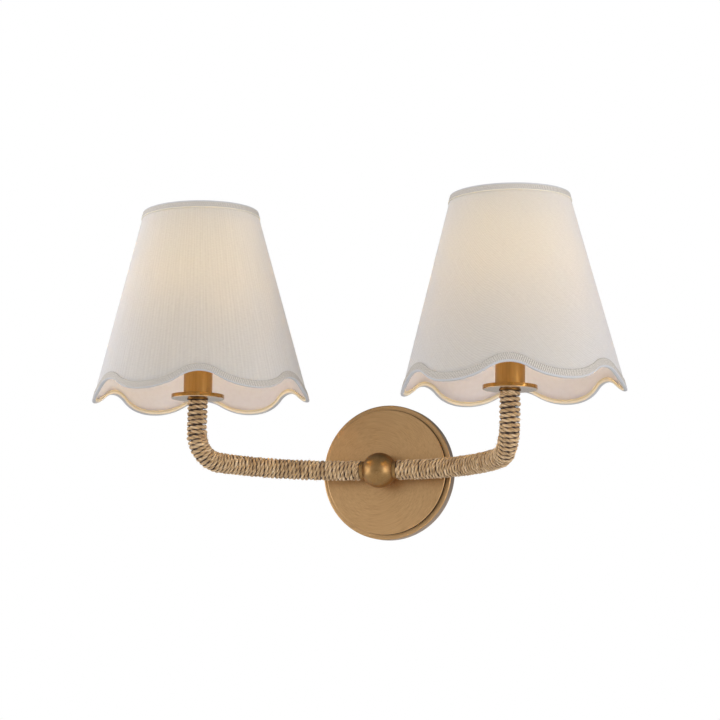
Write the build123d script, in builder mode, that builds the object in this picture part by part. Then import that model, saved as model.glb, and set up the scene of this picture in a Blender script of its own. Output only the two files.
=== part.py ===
from build123d import *
import math
import os

# Two-lamp wall sconce. Millimetres. The wall is the plane Y = 0 and the light stands out towards -Y,
# +X is the viewer's right and +Z is up. The origin is the centre of the backplate's wall face.

# Backplate
CANOPY_DIA = 127.0
CANOPY_DEPTH = 11.0
CANOPY_WALL = 1.5
CANOPY_EDGE_RADIUS = 1.2
FACE_DISC_DIA = 118.0
FACE_DISC_THICK = 4.0
FACE_DISC_EDGE_RADIUS = 0.8

# Strap that is screwed to the wall box, and the screws on it
STRAP_WIDTH = 20.0
STRAP_THICK = 2.0
STRAP_EAR_REACH = 9.0
STRAP_EAR_CLEARANCE = 1.0
STRAP_BEND_RADIUS = 1.0
STRAP_CENTRE_HOLE_DIA = 12.0
BOX_SCREW_SPACING = 88.9
BOX_SLOT_LENGTH = 14.0
BOX_SLOT_WIDTH = 4.6
RIM_SCREW_DIA = 4.0
RIM_SCREW_FROM_WALL = 5.5
RIM_SCREW_TAIL = 2.0
RIM_SCREW_HEAD_DIA = 7.0
RIM_SCREW_HEAD_HEIGHT = 2.4
RIM_SCREW_FLAT_DIA = 4.6
RIM_SCREW_SIDE_HEIGHT = 1.2
GROUND_SCREW_X = 22.0
GROUND_SCREW_DIA = 4.0
GROUND_SCREW_HEAD_DIA = 7.6
GROUND_SCREW_HEAD_HEIGHT = 2.2
GROUND_SCREW_EDGE_RADIUS = 1.1

# Hub: threaded nipple, washer, nut, neck and ball
HUB_FORWARD = 32.5
BALL_DIA = 33.0
BALL_CAVITY_DIA = 21.0
NECK_DIA = 14.0
NIPPLE_DIA = 9.6
NIPPLE_BORE = 6.8
NIPPLE_PAST_NUT = 1.0
WASHER_DIA = 17.0
WASHER_THICK = 1.0
HUB_NUT_FLATS = 15.0
HUB_NUT_THICK = 3.0
COLLAR_DIA = 17.0
COLLAR_LENGTH = 3.8
COLLAR_EDGE_RADIUS = 0.7

# Arms: straight out of the hub, swept forward and a little upward, then bent up into the lamp's stem
ARM_TUBE_DIA = 10.3
ARM_TUBE_BORE = 7.3
ARM_REACH = 150.5
LAMP_FORWARD = 115.0
ARM_STRAIGHT = 20.0
ARM_RISE_ANGLE = 3.4
ELBOW_REACH = 25.0

# Rope wound on each arm in two lengths
ROPE_DIA = 3.8
ROPE_SEAT = 0.25
ROPE_END_GAP = 0.4
WRAP_PITCH = 4.5
ELBOW_PITCH = 6.0
FIRST_LENGTH_TURNS = 23
WRAP_BREAK_TURN = 0.25
WRAP_START_ANGLE = 90.0
ROPE_TAIL_TURN = 0.1
STEPS_PER_TURN = 4
SAMPLES_PER_ARC = 4

# Lead from each socket to the backplate
LEAD_DIA = 2.8
LEAD_OFFSET = 1.6
LEAD_TURN_RADIUS = 7.0

# Lamp stem: neck ring, drip pan, nut and candle sleeve
PAN_UNDERSIDE_Z = 61.2
PAN_DIA = 49.0
PAN_RIM_HEIGHT = 3.8
PAN_SHEET = 1.2
PAN_EDGE_RADIUS = 0.9
NECK_RING_DIA = 19.5
NECK_RING_HEIGHT = 1.0
NECK_RING_EDGE_RADIUS = 0.4
PAN_NUT_FLATS = 15.0
PAN_NUT_THICK = 4.0
SLEEVE_DIA = 26.6
SLEEVE_WALL = 0.8
SLEEVE_HEIGHT = 60.8

# Socket inside the sleeve
SOCKET_DIA = 22.0
SOCKET_BELOW_SLEEVE_TOP = 1.0
SOCKET_ABOVE_NUT = 1.0
SOCKET_THREAD_DEPTH = 8.0
SHELL_WALL = 0.6
SHELL_BASE_GAP = 1.0
CONTACT_DIA = 4.0
CONTACT_PROUD = 2.0

# Bulb with a candelabra screw base
BULB_BASE_DIA = 11.9
BULB_BASE_LENGTH = 17.0
BULB_BASE_CHAMFER = 0.8
BULB_TIP_DIA = 6.4
BULB_TIP_LENGTH = 3.0
BULB_TIP_FLAT_DIA = 3.2
GLASS_NECK_DIA = 11.4
GLASS_BELLY_DIA = 35.0
GLASS_BELLY_HEIGHT = 38.0
GLASS_HEIGHT = 82.0
GLASS_WALL = 0.9
GLASS_NECK_RISE = 13.3
GLASS_BELLY_SWELL = 20.9
GLASS_SHOULDER_SHARE = 0.5
GLASS_TIP_SHARE = 0.42
FILAMENT_COUNT = 4
FILAMENT_DIA = 1.8
FILAMENT_CIRCLE_DIA = 10.0
FILAMENT_STEM_DIA = 4.0
FILAMENT_LOW = 18.0
FILAMENT_HIGH = 52.0
FILAMENT_PLATE_THICK = 0.8

# Wire clip that sits on the bulb and carries the shade
CLIP_RING_WIRE_DIA = 2.0
CLIP_LEG_WIRE_DIA = 1.7
CLIP_SEAT_SHARE = 0.45
CLIP_LEGS = 4
CLIP_FIRST_LEG = 45.0
CLIP_OVER_BULB = 6.0
CLIP_BEND_RADIUS = 7.0
CLIP_HUB_DIA = 10.0
CLIP_HUB_THICK = 2.4
CLIP_LEG_IN_HUB = 2.0
RIVET_DIA = 4.0
RIVET_HEAD_DIA = 7.2
RIVET_HEAD_HEIGHT = 1.4

# Shade
SHADE_TOP_Z = 237.0
SHADE_HEIGHT = 178.8
SHADE_TOP_DIA = 106.0
SHADE_BOTTOM_DIA = 199.4
SHADE_WALL = 1.2
SCALLOP_COUNT = 6
SCALLOP_DEPTH = 14.2
SCALLOP_ARCH_SHARE = 0.34
LEFT_SHADE_TURN = 22.2
RIGHT_SHADE_TURN = 13.7
LEFT_SHADE_TILT_ACROSS = -1.9
LEFT_SHADE_TILT_BACK = 0.9
RIGHT_SHADE_TILT_ACROSS = -1.55
RIGHT_SHADE_TILT_BACK = 0.2
TRIM_THICK = 0.8
TOP_TRIM_HEIGHT = 6.8
TOP_TRIM_INSIDE = 3.0
BOTTOM_TRIM_HEIGHT = 6.0
FRAME_RING_WIRE_DIA = 2.4
FRAME_SPOKE_DIA = 2.0
FRAME_SPOKES = 3
FRAME_HUB_DIA = 14.0
FRAME_HUB_THICK = 2.4
FRAME_SPOKE_IN_HUB = 2.0

# Clearances, and the most of a sheet's thickness that a rounded edge may take
SLIP = 0.1
RUNNING = 0.3
EDGE_OF_SHEET = 0.9

CANOPY_RADIUS = CANOPY_DIA / 2
FACE_Y = -(CANOPY_DEPTH + FACE_DISC_THICK)
BALL_RADIUS = BALL_DIA / 2
COLLAR_SEAT = math.sqrt(BALL_RADIUS**2 - (COLLAR_DIA / 2) ** 2)
NECK_SEAT = math.sqrt(BALL_RADIUS**2 - (NECK_DIA / 2) ** 2)
COLLAR_END = COLLAR_SEAT + COLLAR_LENGTH
NUT_BACK_Y = -(CANOPY_DEPTH - CANOPY_WALL - WASHER_THICK - HUB_NUT_THICK)
NIPPLE_BACK_Y = NUT_BACK_Y + NIPPLE_PAST_NUT
NIPPLE_FRONT_Y = -(HUB_FORWARD - BALL_CAVITY_DIA / 2)
NIPPLE_HOLE_RADIUS = NIPPLE_DIA / 2 + SLIP
ARM_HOLE_RADIUS = ARM_TUBE_DIA / 2 + SLIP
SCREW_Y = -RIM_SCREW_FROM_WALL
EAR_X = CANOPY_RADIUS - CANOPY_WALL - STRAP_EAR_CLEARANCE

# The swept part of an arm is an arc that starts along X, in a plane that rises to the front. Together with
# the elbow's own reach it has to cover SWEEP_ACROSS sideways and SWEEP_FORWARD in that plane, which fixes
# its angle and radius. The elbow takes it from its slope there, ELBOW_START, up to the vertical.
ARM_RISE = math.radians(ARM_RISE_ANGLE)
SWEEP_WAY = Vector(0, -math.cos(ARM_RISE), math.sin(ARM_RISE))
SWEEP_ACROSS = ARM_REACH - ARM_STRAIGHT
SWEEP_FORWARD = (LAMP_FORWARD - HUB_FORWARD) / math.cos(ARM_RISE)
SWEEP_ANGLE = 2 * math.atan(SWEEP_FORWARD / (SWEEP_ACROSS + ELBOW_REACH))
SWEEP_RADIUS = (SWEEP_ACROSS - ELBOW_REACH * math.cos(SWEEP_ANGLE)) / math.sin(SWEEP_ANGLE)
SWEEP_LENGTH = SWEEP_RADIUS * SWEEP_ANGLE
ELBOW_START = math.asin(math.sin(SWEEP_ANGLE) * math.sin(ARM_RISE))
ELBOW_RADIUS = ELBOW_REACH * math.cos(ELBOW_START) / (1 - math.sin(ELBOW_START))
ELBOW_LENGTH = ELBOW_RADIUS * (math.pi / 2 - ELBOW_START)
ELBOW_DISTANCE = ARM_STRAIGHT + SWEEP_LENGTH
STEM_DISTANCE = ELBOW_DISTANCE + ELBOW_LENGTH

NECK_RING_Z = PAN_UNDERSIDE_Z - NECK_RING_HEIGHT
PAN_FLOOR_Z = PAN_UNDERSIDE_Z + PAN_SHEET
PAN_NUT_TOP_Z = PAN_FLOOR_Z + PAN_NUT_THICK
SOCKET_Z = PAN_NUT_TOP_Z + SOCKET_ABOVE_NUT
ARM_TOP_Z = SOCKET_Z + SOCKET_THREAD_DEPTH
SLEEVE_TOP_Z = PAN_FLOOR_Z + SLEEVE_HEIGHT
SOCKET_TOP_Z = SLEEVE_TOP_Z - SOCKET_BELOW_SLEEVE_TOP
SHELL_BORE_RADIUS = BULB_BASE_DIA / 2 + RUNNING
SHELL_RADIUS = SHELL_BORE_RADIUS + SHELL_WALL
GLASS_Z = SOCKET_TOP_Z + RUNNING
BULB_BASE_Z = GLASS_Z - BULB_BASE_LENGTH
BULB_TIP_Z = BULB_BASE_Z - BULB_TIP_LENGTH
CONTACT_TOP_Z = BULB_TIP_Z - RUNNING
SHELL_Z = CONTACT_TOP_Z - CONTACT_PROUD
GLASS_TOP_Z = GLASS_Z + GLASS_HEIGHT
GLASS_BELLY_Z = GLASS_Z + GLASS_BELLY_HEIGHT
CLIP_HUB_Z = GLASS_TOP_Z + CLIP_OVER_BULB
CLIP_HUB_TOP_Z = CLIP_HUB_Z + CLIP_HUB_THICK / 2
FRAME_HUB_Z = CLIP_HUB_TOP_Z + RUNNING
RIVET_HEAD_Z = FRAME_HUB_Z + FRAME_HUB_THICK + RUNNING

SHADE_BOTTOM_Z = SHADE_TOP_Z - SHADE_HEIGHT
SHADE_SLOPE = (SHADE_BOTTOM_DIA - SHADE_TOP_DIA) / 2 / SHADE_HEIGHT
SHADE_LEAN = math.atan(SHADE_SLOPE)

# One scallop is an arch between two half lobes, drawn as tangent arcs that bend by WAVE_BEND.
WAVE_HALF = SHADE_BOTTOM_DIA / 2 * math.sin(math.pi / SCALLOP_COUNT)
WAVE_BEND = 2 * math.atan(SCALLOP_DEPTH / WAVE_HALF)
ARCH_REACH = SCALLOP_ARCH_SHARE * WAVE_HALF
ARCH_DROP = ARCH_REACH / math.sin(WAVE_BEND) * (1 - math.cos(WAVE_BEND))
BELOW_SHADE_Z = SHADE_BOTTOM_Z - 2 * BOTTOM_TRIM_HEIGHT
ABOVE_WAVE_Z = SHADE_BOTTOM_Z + SCALLOP_DEPTH + 2 * BOTTOM_TRIM_HEIGHT

SIDES = (
    ("left", -1, LEFT_SHADE_TURN, LEFT_SHADE_TILT_ACROSS, LEFT_SHADE_TILT_BACK),
    ("right", 1, RIGHT_SHADE_TURN, RIGHT_SHADE_TILT_ACROSS, RIGHT_SHADE_TILT_BACK),
)

os.makedirs("parts", exist_ok=True)


def save(piece, name):
    piece.part.label = name
    export_step(piece.part, f"parts/{name}.step")


def shade_radius(z):
    """Outer radius of the shade's wall at height z."""
    return SHADE_TOP_DIA / 2 + (SHADE_TOP_Z - z) * SHADE_SLOPE


def shade_band(low_z, high_z, inside, outside):
    """Corners of a conical band's section, set in and out from the shade's outer face."""
    return (
        (shade_radius(low_z) - inside, low_z),
        (shade_radius(low_z) + outside, low_z),
        (shade_radius(high_z) + outside, high_z),
        (shade_radius(high_z) - inside, high_z),
    )


def shade_ways(level, around):
    """Directions out of the shade's axis and across it at an angle round a level; angle 0 faces the front."""
    outward = level.x_dir * math.sin(around) - level.y_dir * math.cos(around)
    across = level.x_dir * math.cos(around) + level.y_dir * math.sin(around)
    return outward, across


def scallop_outline(rise):
    """Edges round the space below one scallop, with its wave lifted by a rise."""
    low = SHADE_BOTTOM_Z + rise
    high = low + SCALLOP_DEPTH
    floor = BELOW_SHADE_Z - BOTTOM_TRIM_HEIGHT
    past = WAVE_HALF + SCALLOP_DEPTH
    with BuildLine() as outline:
        level = Line((-past, low), (-WAVE_HALF, low))
        left_lobe = TangentArc(level @ 1, (-ARCH_REACH, high - ARCH_DROP), tangent=(1, 0))
        arch = ThreePointArc(left_lobe @ 1, (0, high), (ARCH_REACH, high - ARCH_DROP))
        right_lobe = TangentArc(arch @ 1, (WAVE_HALF, low), tangent=arch % 1)
        Polyline(right_lobe @ 1, (past, low), (past, floor), (-past, floor), level @ 0)
    return outline.edges()


def bulb_shoulder(share, inset):
    """Control points of the glass from its belly to its tip, and the point at that share of the curve."""
    belly = GLASS_BELLY_DIA / 2 - inset
    tip = GLASS_TOP_Z - inset
    rise = tip - GLASS_BELLY_Z
    points = [
        (belly, GLASS_BELLY_Z),
        (belly, GLASS_BELLY_Z + GLASS_SHOULDER_SHARE * rise),
        (belly * GLASS_TIP_SHARE, tip),
        (0, tip),
    ]
    weights = [
        (1 - share) ** 3,
        3 * share * (1 - share) ** 2,
        3 * share**2 * (1 - share),
        share**3,
    ]
    radius = sum(weight * point[0] for weight, point in zip(weights, points))
    height = sum(weight * point[1] for weight, point in zip(weights, points))
    return points, (radius, height)


def arm_station(sign, distance):
    """Centre, direction and the two cross axes of an arm at a distance along its tube from the hub."""
    past_straight = distance - ARM_STRAIGHT
    past_sweep = distance - ELBOW_DISTANCE
    past_elbow = distance - STEM_DISTANCE
    turn = min(max(past_straight / SWEEP_RADIUS, 0), SWEEP_ANGLE)
    sideways = Vector(sign, 0, 0)
    up = Vector(0, 0, 1)
    direction = sideways * math.cos(turn) + SWEEP_WAY * math.sin(turn)
    outward = Vector(direction.X, direction.Y, 0).normalized()
    centre = Vector(0, -HUB_FORWARD, 0)
    centre += sideways * (ARM_STRAIGHT + min(past_straight, 0) + SWEEP_RADIUS * math.sin(turn))
    centre += SWEEP_WAY * (SWEEP_RADIUS * (1 - math.cos(turn)))
    if past_sweep > 0:
        lift = min(ELBOW_START + past_sweep / ELBOW_RADIUS, math.pi / 2)
        centre += outward * (ELBOW_RADIUS * (math.sin(lift) - math.sin(ELBOW_START)))
        centre += up * (ELBOW_RADIUS * (math.cos(ELBOW_START) - math.cos(lift)) + max(past_elbow, 0))
        direction = outward * math.cos(lift) + up * math.sin(lift)
    across = up.cross(outward)
    return centre, direction, across, direction.cross(across)


def arm_turns(distance):
    """Turns of rope from the hub up to a distance along the arm; the turns spread out on the elbow."""
    on_elbow = min(max(distance - ELBOW_DISTANCE, 0), ELBOW_LENGTH)
    return (distance - on_elbow) / WRAP_PITCH + on_elbow / ELBOW_PITCH


def arm_distance(turns):
    """Distance along the arm that a number of turns reaches, the inverse of arm_turns."""
    turns_on_elbow = min(max(turns - ELBOW_DISTANCE / WRAP_PITCH, 0), ELBOW_LENGTH / ELBOW_PITCH)
    return (turns - turns_on_elbow) * WRAP_PITCH + turns_on_elbow * ELBOW_PITCH


def rope_point(sign, turns):
    """Centre of the rope after a number of turns from the hub."""
    centre, _, across, over = arm_station(sign, arm_distance(turns))
    angle = math.radians(WRAP_START_ANGLE) + 2 * math.pi * turns
    wind_radius = ARM_TUBE_DIA / 2 + ROPE_SEAT + ROPE_DIA / 2
    return centre + (across * math.cos(angle) + over * math.sin(angle)) * wind_radius


def rope_direction(sign, turns):
    step = 0.001
    return (rope_point(sign, turns + step) - rope_point(sign, turns - step)).normalized()


def rope_joint(start, start_direction, end, end_direction):
    """Point and direction where the two arcs of a biarc between two rope points meet."""
    chord = end - start
    along = chord.dot(start_direction + end_direction)
    spread = 2 * (1 - start_direction.dot(end_direction))
    reach = (math.sqrt(along**2 + spread * chord.dot(chord)) - along) / spread
    start_handle = start + start_direction * reach
    end_handle = end - end_direction * reach
    return (start_handle + end_handle) / 2, (end_handle - start_handle).normalized()


def report_winding(name, piece, edges):
    """Print the rope's length, its volume against section times length, and its least gap to itself."""
    samples = [edge @ (step / SAMPLES_PER_ARC) for edge in edges for step in range(SAMPLES_PER_ARC)]
    half_turn = SAMPLES_PER_ARC * STEPS_PER_TURN
    gaps = [
        (samples[first] - samples[second]).length
        for first in range(len(samples))
        for second in range(first + half_turn, min(first + 4 * half_turn, len(samples)))
    ]
    length = sum(edge.length for edge in edges)
    swept = math.pi * ROPE_DIA**2 / 4 * length
    print(f"{name}: rope {length:.0f} mm, volume {piece.part.volume:.0f} of {swept:.0f}, "
          f"least gap {min(gaps) - ROPE_DIA:.2f} mm")


# Backplate
with BuildPart() as canopy_base:
    with BuildSketch(Plane.XY):
        with BuildLine():
            Polyline(
                (NIPPLE_HOLE_RADIUS, -CANOPY_DEPTH),
                (CANOPY_RADIUS, -CANOPY_DEPTH),
                (CANOPY_RADIUS, 0),
                (CANOPY_RADIUS - CANOPY_WALL, 0),
                (CANOPY_RADIUS - CANOPY_WALL, CANOPY_WALL - CANOPY_DEPTH),
                (NIPPLE_HOLE_RADIUS, CANOPY_WALL - CANOPY_DEPTH),
                close=True,
            )
        make_face()
    revolve(axis=Axis.Y)
    front_edges = canopy_base.edges().filter_by(GeomType.CIRCLE).group_by(Axis.Y)[0]
    fillet(front_edges.sort_by(SortBy.RADIUS)[-1], min(CANOPY_EDGE_RADIUS, EDGE_OF_SHEET * CANOPY_WALL))
    with BuildSketch(Plane(origin=(0, SCREW_Y, 0), z_dir=(1, 0, 0))):
        Circle(RIM_SCREW_DIA / 2 + SLIP)
    extrude(amount=CANOPY_DIA, both=True, mode=Mode.SUBTRACT)
save(canopy_base, "canopy_base")

with BuildPart() as canopy_face_disc:
    with BuildSketch(Plane.XZ.offset(CANOPY_DEPTH)):
        Circle(FACE_DISC_DIA / 2)
        Circle(NIPPLE_HOLE_RADIUS, mode=Mode.SUBTRACT)
    extrude(amount=FACE_DISC_THICK)
    front_edges = canopy_face_disc.edges().filter_by(GeomType.CIRCLE).group_by(Axis.Y)[0]
    fillet(front_edges.sort_by(SortBy.RADIUS)[-1], FACE_DISC_EDGE_RADIUS)
save(canopy_face_disc, "canopy_face_disc")

# Strap and screws
with BuildPart() as mounting_strap:
    with BuildSketch(Plane.XY):
        with BuildLine():
            Polyline(
                (-EAR_X, 0),
                (EAR_X, 0),
                (EAR_X, -STRAP_EAR_REACH),
                (EAR_X - STRAP_THICK, -STRAP_EAR_REACH),
                (EAR_X - STRAP_THICK, -STRAP_THICK),
                (STRAP_THICK - EAR_X, -STRAP_THICK),
                (STRAP_THICK - EAR_X, -STRAP_EAR_REACH),
                (-EAR_X, -STRAP_EAR_REACH),
                close=True,
            )
        make_face()
    extrude(amount=STRAP_WIDTH / 2, both=True)
    bends = mounting_strap.edges().filter_by(Axis.Z).group_by(Axis.Y)
    fillet(bends[-1], STRAP_BEND_RADIUS + STRAP_THICK)
    with BuildSketch(Plane.XZ):
        Circle(STRAP_CENTRE_HOLE_DIA / 2)
        with Locations((-BOX_SCREW_SPACING / 2, 0), (BOX_SCREW_SPACING / 2, 0)):
            SlotOverall(BOX_SLOT_LENGTH, BOX_SLOT_WIDTH)
        with Locations((GROUND_SCREW_X, 0)):
            Circle(GROUND_SCREW_DIA / 2 + SLIP)
    extrude(amount=STRAP_THICK, mode=Mode.SUBTRACT)
    with BuildSketch(Plane(origin=(0, SCREW_Y, 0), z_dir=(1, 0, 0))):
        Circle(RIM_SCREW_DIA / 2 + SLIP)
    extrude(amount=EAR_X, both=True, mode=Mode.SUBTRACT)
save(mounting_strap, "mounting_strap")

with BuildPart() as rim_screws:
    with BuildSketch(Plane(origin=(0, SCREW_Y, 0), x_dir=(1, 0, 0), z_dir=(0, 0, 1))):
        with BuildLine():
            Polyline(
                (EAR_X - STRAP_THICK - RIM_SCREW_TAIL, 0),
                (CANOPY_RADIUS + RIM_SCREW_HEAD_HEIGHT, 0),
                (CANOPY_RADIUS + RIM_SCREW_HEAD_HEIGHT, RIM_SCREW_FLAT_DIA / 2),
                (CANOPY_RADIUS + RIM_SCREW_SIDE_HEIGHT, RIM_SCREW_HEAD_DIA / 2),
                (CANOPY_RADIUS, RIM_SCREW_HEAD_DIA / 2),
                (CANOPY_RADIUS, RIM_SCREW_DIA / 2),
                (EAR_X - STRAP_THICK - RIM_SCREW_TAIL, RIM_SCREW_DIA / 2),
                close=True,
            )
        make_face()
    revolve(axis=Axis((0, SCREW_Y, 0), (1, 0, 0)))
    mirror(about=Plane.YZ)
save(rim_screws, "rim_screws")

with BuildPart() as ground_screw:
    with BuildSketch(Plane.XZ.offset(STRAP_THICK)):
        with Locations((GROUND_SCREW_X, 0)):
            Circle(GROUND_SCREW_HEAD_DIA / 2)
    extrude(amount=GROUND_SCREW_HEAD_HEIGHT)
    fillet(ground_screw.edges().group_by(Axis.Y)[0], GROUND_SCREW_EDGE_RADIUS)
    with BuildSketch(Plane.XZ):
        with Locations((GROUND_SCREW_X, 0)):
            Circle(GROUND_SCREW_DIA / 2)
    extrude(amount=STRAP_THICK)
save(ground_screw, "ground_screw")

# Hub
with BuildPart() as hub_nipple:
    with BuildSketch(Plane.XZ.offset(-NIPPLE_BACK_Y)):
        Circle(NIPPLE_DIA / 2)
        Circle(NIPPLE_BORE / 2, mode=Mode.SUBTRACT)
    extrude(amount=NIPPLE_BACK_Y - NIPPLE_FRONT_Y)
save(hub_nipple, "hub_nipple")

with BuildPart() as hub_washer:
    with BuildSketch(Plane.XZ.offset(-NUT_BACK_Y + HUB_NUT_THICK)):
        Circle(WASHER_DIA / 2)
        Circle(NIPPLE_HOLE_RADIUS, mode=Mode.SUBTRACT)
    extrude(amount=WASHER_THICK)
save(hub_washer, "hub_washer")

with BuildPart() as hub_nut:
    with BuildSketch(Plane.XZ.offset(-NUT_BACK_Y)):
        RegularPolygon(HUB_NUT_FLATS / 2, 6, major_radius=False)
        Circle(NIPPLE_HOLE_RADIUS, mode=Mode.SUBTRACT)
    extrude(amount=HUB_NUT_THICK)
save(hub_nut, "hub_nut")

with BuildPart() as hub_neck:
    with BuildSketch(Plane.XZ.offset(-FACE_Y)):
        Circle(NECK_DIA / 2)
        Circle(NIPPLE_HOLE_RADIUS, mode=Mode.SUBTRACT)
    extrude(amount=HUB_FORWARD - NECK_SEAT + FACE_Y)
save(hub_neck, "hub_neck")

with BuildPart() as hub_ball:
    with Locations((0, -HUB_FORWARD, 0)):
        Sphere(BALL_RADIUS)
        Sphere(BALL_CAVITY_DIA / 2, mode=Mode.SUBTRACT)
    split(bisect_by=Plane.YZ.offset(COLLAR_SEAT), keep=Keep.BOTTOM)
    split(bisect_by=Plane.YZ.offset(-COLLAR_SEAT), keep=Keep.TOP)
    split(bisect_by=Plane.XZ.offset(HUB_FORWARD - NECK_SEAT), keep=Keep.TOP)
    with BuildSketch(Plane(origin=(0, -HUB_FORWARD, 0), z_dir=(1, 0, 0))):
        Circle(ARM_HOLE_RADIUS)
    extrude(amount=BALL_DIA, both=True, mode=Mode.SUBTRACT)
    with BuildSketch(Plane(origin=(0, -HUB_FORWARD, 0), z_dir=(0, 1, 0))):
        Circle(NIPPLE_HOLE_RADIUS)
    extrude(amount=BALL_DIA, mode=Mode.SUBTRACT)
save(hub_ball, "hub_ball")

# Arms with their rope, leads, lamp stems, bulbs and shades
for side, sign, shade_turn, tilt_across, tilt_back in SIDES:
    hub_side = Plane(origin=(sign * COLLAR_SEAT, -HUB_FORWARD, 0), z_dir=(sign, 0, 0))
    lamp_x = sign * ARM_REACH
    lamp_axis = Axis((lamp_x, -LAMP_FORWARD, 0), (0, 0, 1))
    lamp_section = Plane(origin=(lamp_x, -LAMP_FORWARD, 0), x_dir=(1, 0, 0), z_dir=(0, -1, 0))
    lamp_level = Plane(origin=(lamp_x, -LAMP_FORWARD, 0))
    sweep_end, _, elbow_across, _ = arm_station(sign, ELBOW_DISTANCE)
    stem_base, stem_up, _, _ = arm_station(sign, STEM_DISTANCE)

    with BuildPart() as arm_collar:
        with BuildSketch(hub_side):
            Circle(COLLAR_DIA / 2)
            Circle(ARM_HOLE_RADIUS, mode=Mode.SUBTRACT)
        extrude(amount=COLLAR_LENGTH)
        rims = arm_collar.edges().filter_by(GeomType.CIRCLE).sort_by(SortBy.RADIUS)[-2:]
        fillet(rims, COLLAR_EDGE_RADIUS)
    save(arm_collar, f"{side}_arm_collar")

    with BuildPart() as arm_tube:
        with BuildLine():
            straight = Line(
                (sign * BALL_CAVITY_DIA / 2, -HUB_FORWARD, 0), (sign * ARM_STRAIGHT, -HUB_FORWARD, 0)
            )
            swept = TangentArc(straight @ 1, sweep_end, tangent=straight % 1)
            elbow = TangentArc(swept @ 1, stem_base, tangent=swept % 1)
            Line(elbow @ 1, (lamp_x, -LAMP_FORWARD, ARM_TOP_Z))
        with BuildSketch(Plane(origin=straight @ 0, z_dir=straight % 0)):
            Circle(ARM_TUBE_DIA / 2)
            Circle(ARM_TUBE_BORE / 2, mode=Mode.SUBTRACT)
        sweep()
    save(arm_tube, f"{side}_arm_tube")

    first_turn = arm_turns(COLLAR_END + ROPE_END_GAP + ROPE_DIA / 2) + ROPE_TAIL_TURN
    rope_top = STEM_DISTANCE + NECK_RING_Z - stem_base.Z
    last_turn = arm_turns(rope_top - ROPE_END_GAP - ROPE_DIA / 2) - ROPE_TAIL_TURN
    break_turn = first_turn + FIRST_LENGTH_TURNS
    lengths = (
        ("arm_wrap_inner", first_turn, break_turn),
        ("arm_wrap_outer", break_turn + WRAP_BREAK_TURN, last_turn),
    )
    for wrap_name, start_turn, end_turn in lengths:
        steps = round((end_turn - start_turn) * STEPS_PER_TURN)
        turns = [start_turn + (end_turn - start_turn) * step / steps for step in range(steps + 1)]
        points = [rope_point(sign, turn) for turn in turns]
        directions = [rope_direction(sign, turn) for turn in turns]
        with BuildPart() as arm_wrap:
            with BuildLine() as rope_line:
                rope_start = points[0] - directions[0] * ROPE_DIA
                Line(rope_start, points[0])
                for step in range(steps):
                    middle, middle_direction = rope_joint(
                        points[step], directions[step], points[step + 1], directions[step + 1]
                    )
                    TangentArc(points[step], middle, tangent=directions[step])
                    TangentArc(middle, points[step + 1], tangent=middle_direction)
                Line(points[-1], points[-1] + directions[-1] * ROPE_DIA)
            with BuildSketch(Plane(origin=rope_start, z_dir=directions[0])):
                Circle(ROPE_DIA / 2)
            sweep()
        report_winding(f"{side}_{wrap_name}", arm_wrap, rope_line.edges())
        save(arm_wrap, f"{side}_{wrap_name}")

    lead_z = -sign * LEAD_OFFSET
    lead_bend = ELBOW_RADIUS - lead_z
    lead_rise = stem_up * (lead_bend * math.cos(ELBOW_START))
    lead_reach = elbow_across.cross(stem_up) * (lead_bend * (1 - math.sin(ELBOW_START)))
    with BuildPart() as lamp_lead:
        with BuildLine():
            from_wall = Line(
                (0, NIPPLE_BACK_Y, lead_z), (0, LEAD_TURN_RADIUS - HUB_FORWARD, lead_z)
            )
            turn_out = TangentArc(
                from_wall @ 1, (sign * LEAD_TURN_RADIUS, -HUB_FORWARD, lead_z), tangent=from_wall % 1
            )
            out = Line(turn_out @ 1, (sign * ARM_STRAIGHT, -HUB_FORWARD, lead_z))
            swept = TangentArc(out @ 1, sweep_end + stem_up * lead_z, tangent=out % 1)
            elbow = TangentArc(swept @ 1, (swept @ 1) + lead_reach + lead_rise, tangent=swept % 1)
            Line(elbow @ 1, (elbow @ 1) + stem_up * (ARM_TOP_Z - (elbow @ 1).Z))
        with BuildSketch(Plane(origin=from_wall @ 0, z_dir=from_wall % 0)):
            Circle(LEAD_DIA / 2)
        sweep()
    save(lamp_lead, f"{side}_lamp_lead")

    with BuildPart() as neck_ring:
        with BuildSketch(lamp_level.offset(NECK_RING_Z)):
            Circle(NECK_RING_DIA / 2)
            Circle(ARM_HOLE_RADIUS, mode=Mode.SUBTRACT)
        extrude(amount=NECK_RING_HEIGHT)
        rims = neck_ring.edges().filter_by(GeomType.CIRCLE).group_by(Axis.Z)[0]
        fillet(rims.sort_by(SortBy.RADIUS)[-1], NECK_RING_EDGE_RADIUS)
    save(neck_ring, f"{side}_neck_ring")

    with BuildPart() as drip_pan:
        with BuildSketch(lamp_section):
            with BuildLine():
                Polyline(
                    (ARM_HOLE_RADIUS, PAN_UNDERSIDE_Z),
                    (PAN_DIA / 2, PAN_UNDERSIDE_Z),
                    (PAN_DIA / 2, PAN_UNDERSIDE_Z + PAN_RIM_HEIGHT),
                    (PAN_DIA / 2 - PAN_SHEET, PAN_UNDERSIDE_Z + PAN_RIM_HEIGHT),
                    (PAN_DIA / 2 - PAN_SHEET, PAN_FLOOR_Z),
                    (ARM_HOLE_RADIUS, PAN_FLOOR_Z),
                    close=True,
                )
            make_face()
        revolve(axis=lamp_axis)
        under_edges = drip_pan.edges().filter_by(GeomType.CIRCLE).group_by(Axis.Z)[0]
        fillet(under_edges.sort_by(SortBy.RADIUS)[-1], min(PAN_EDGE_RADIUS, EDGE_OF_SHEET * PAN_SHEET))
    save(drip_pan, f"{side}_drip_pan")

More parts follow.
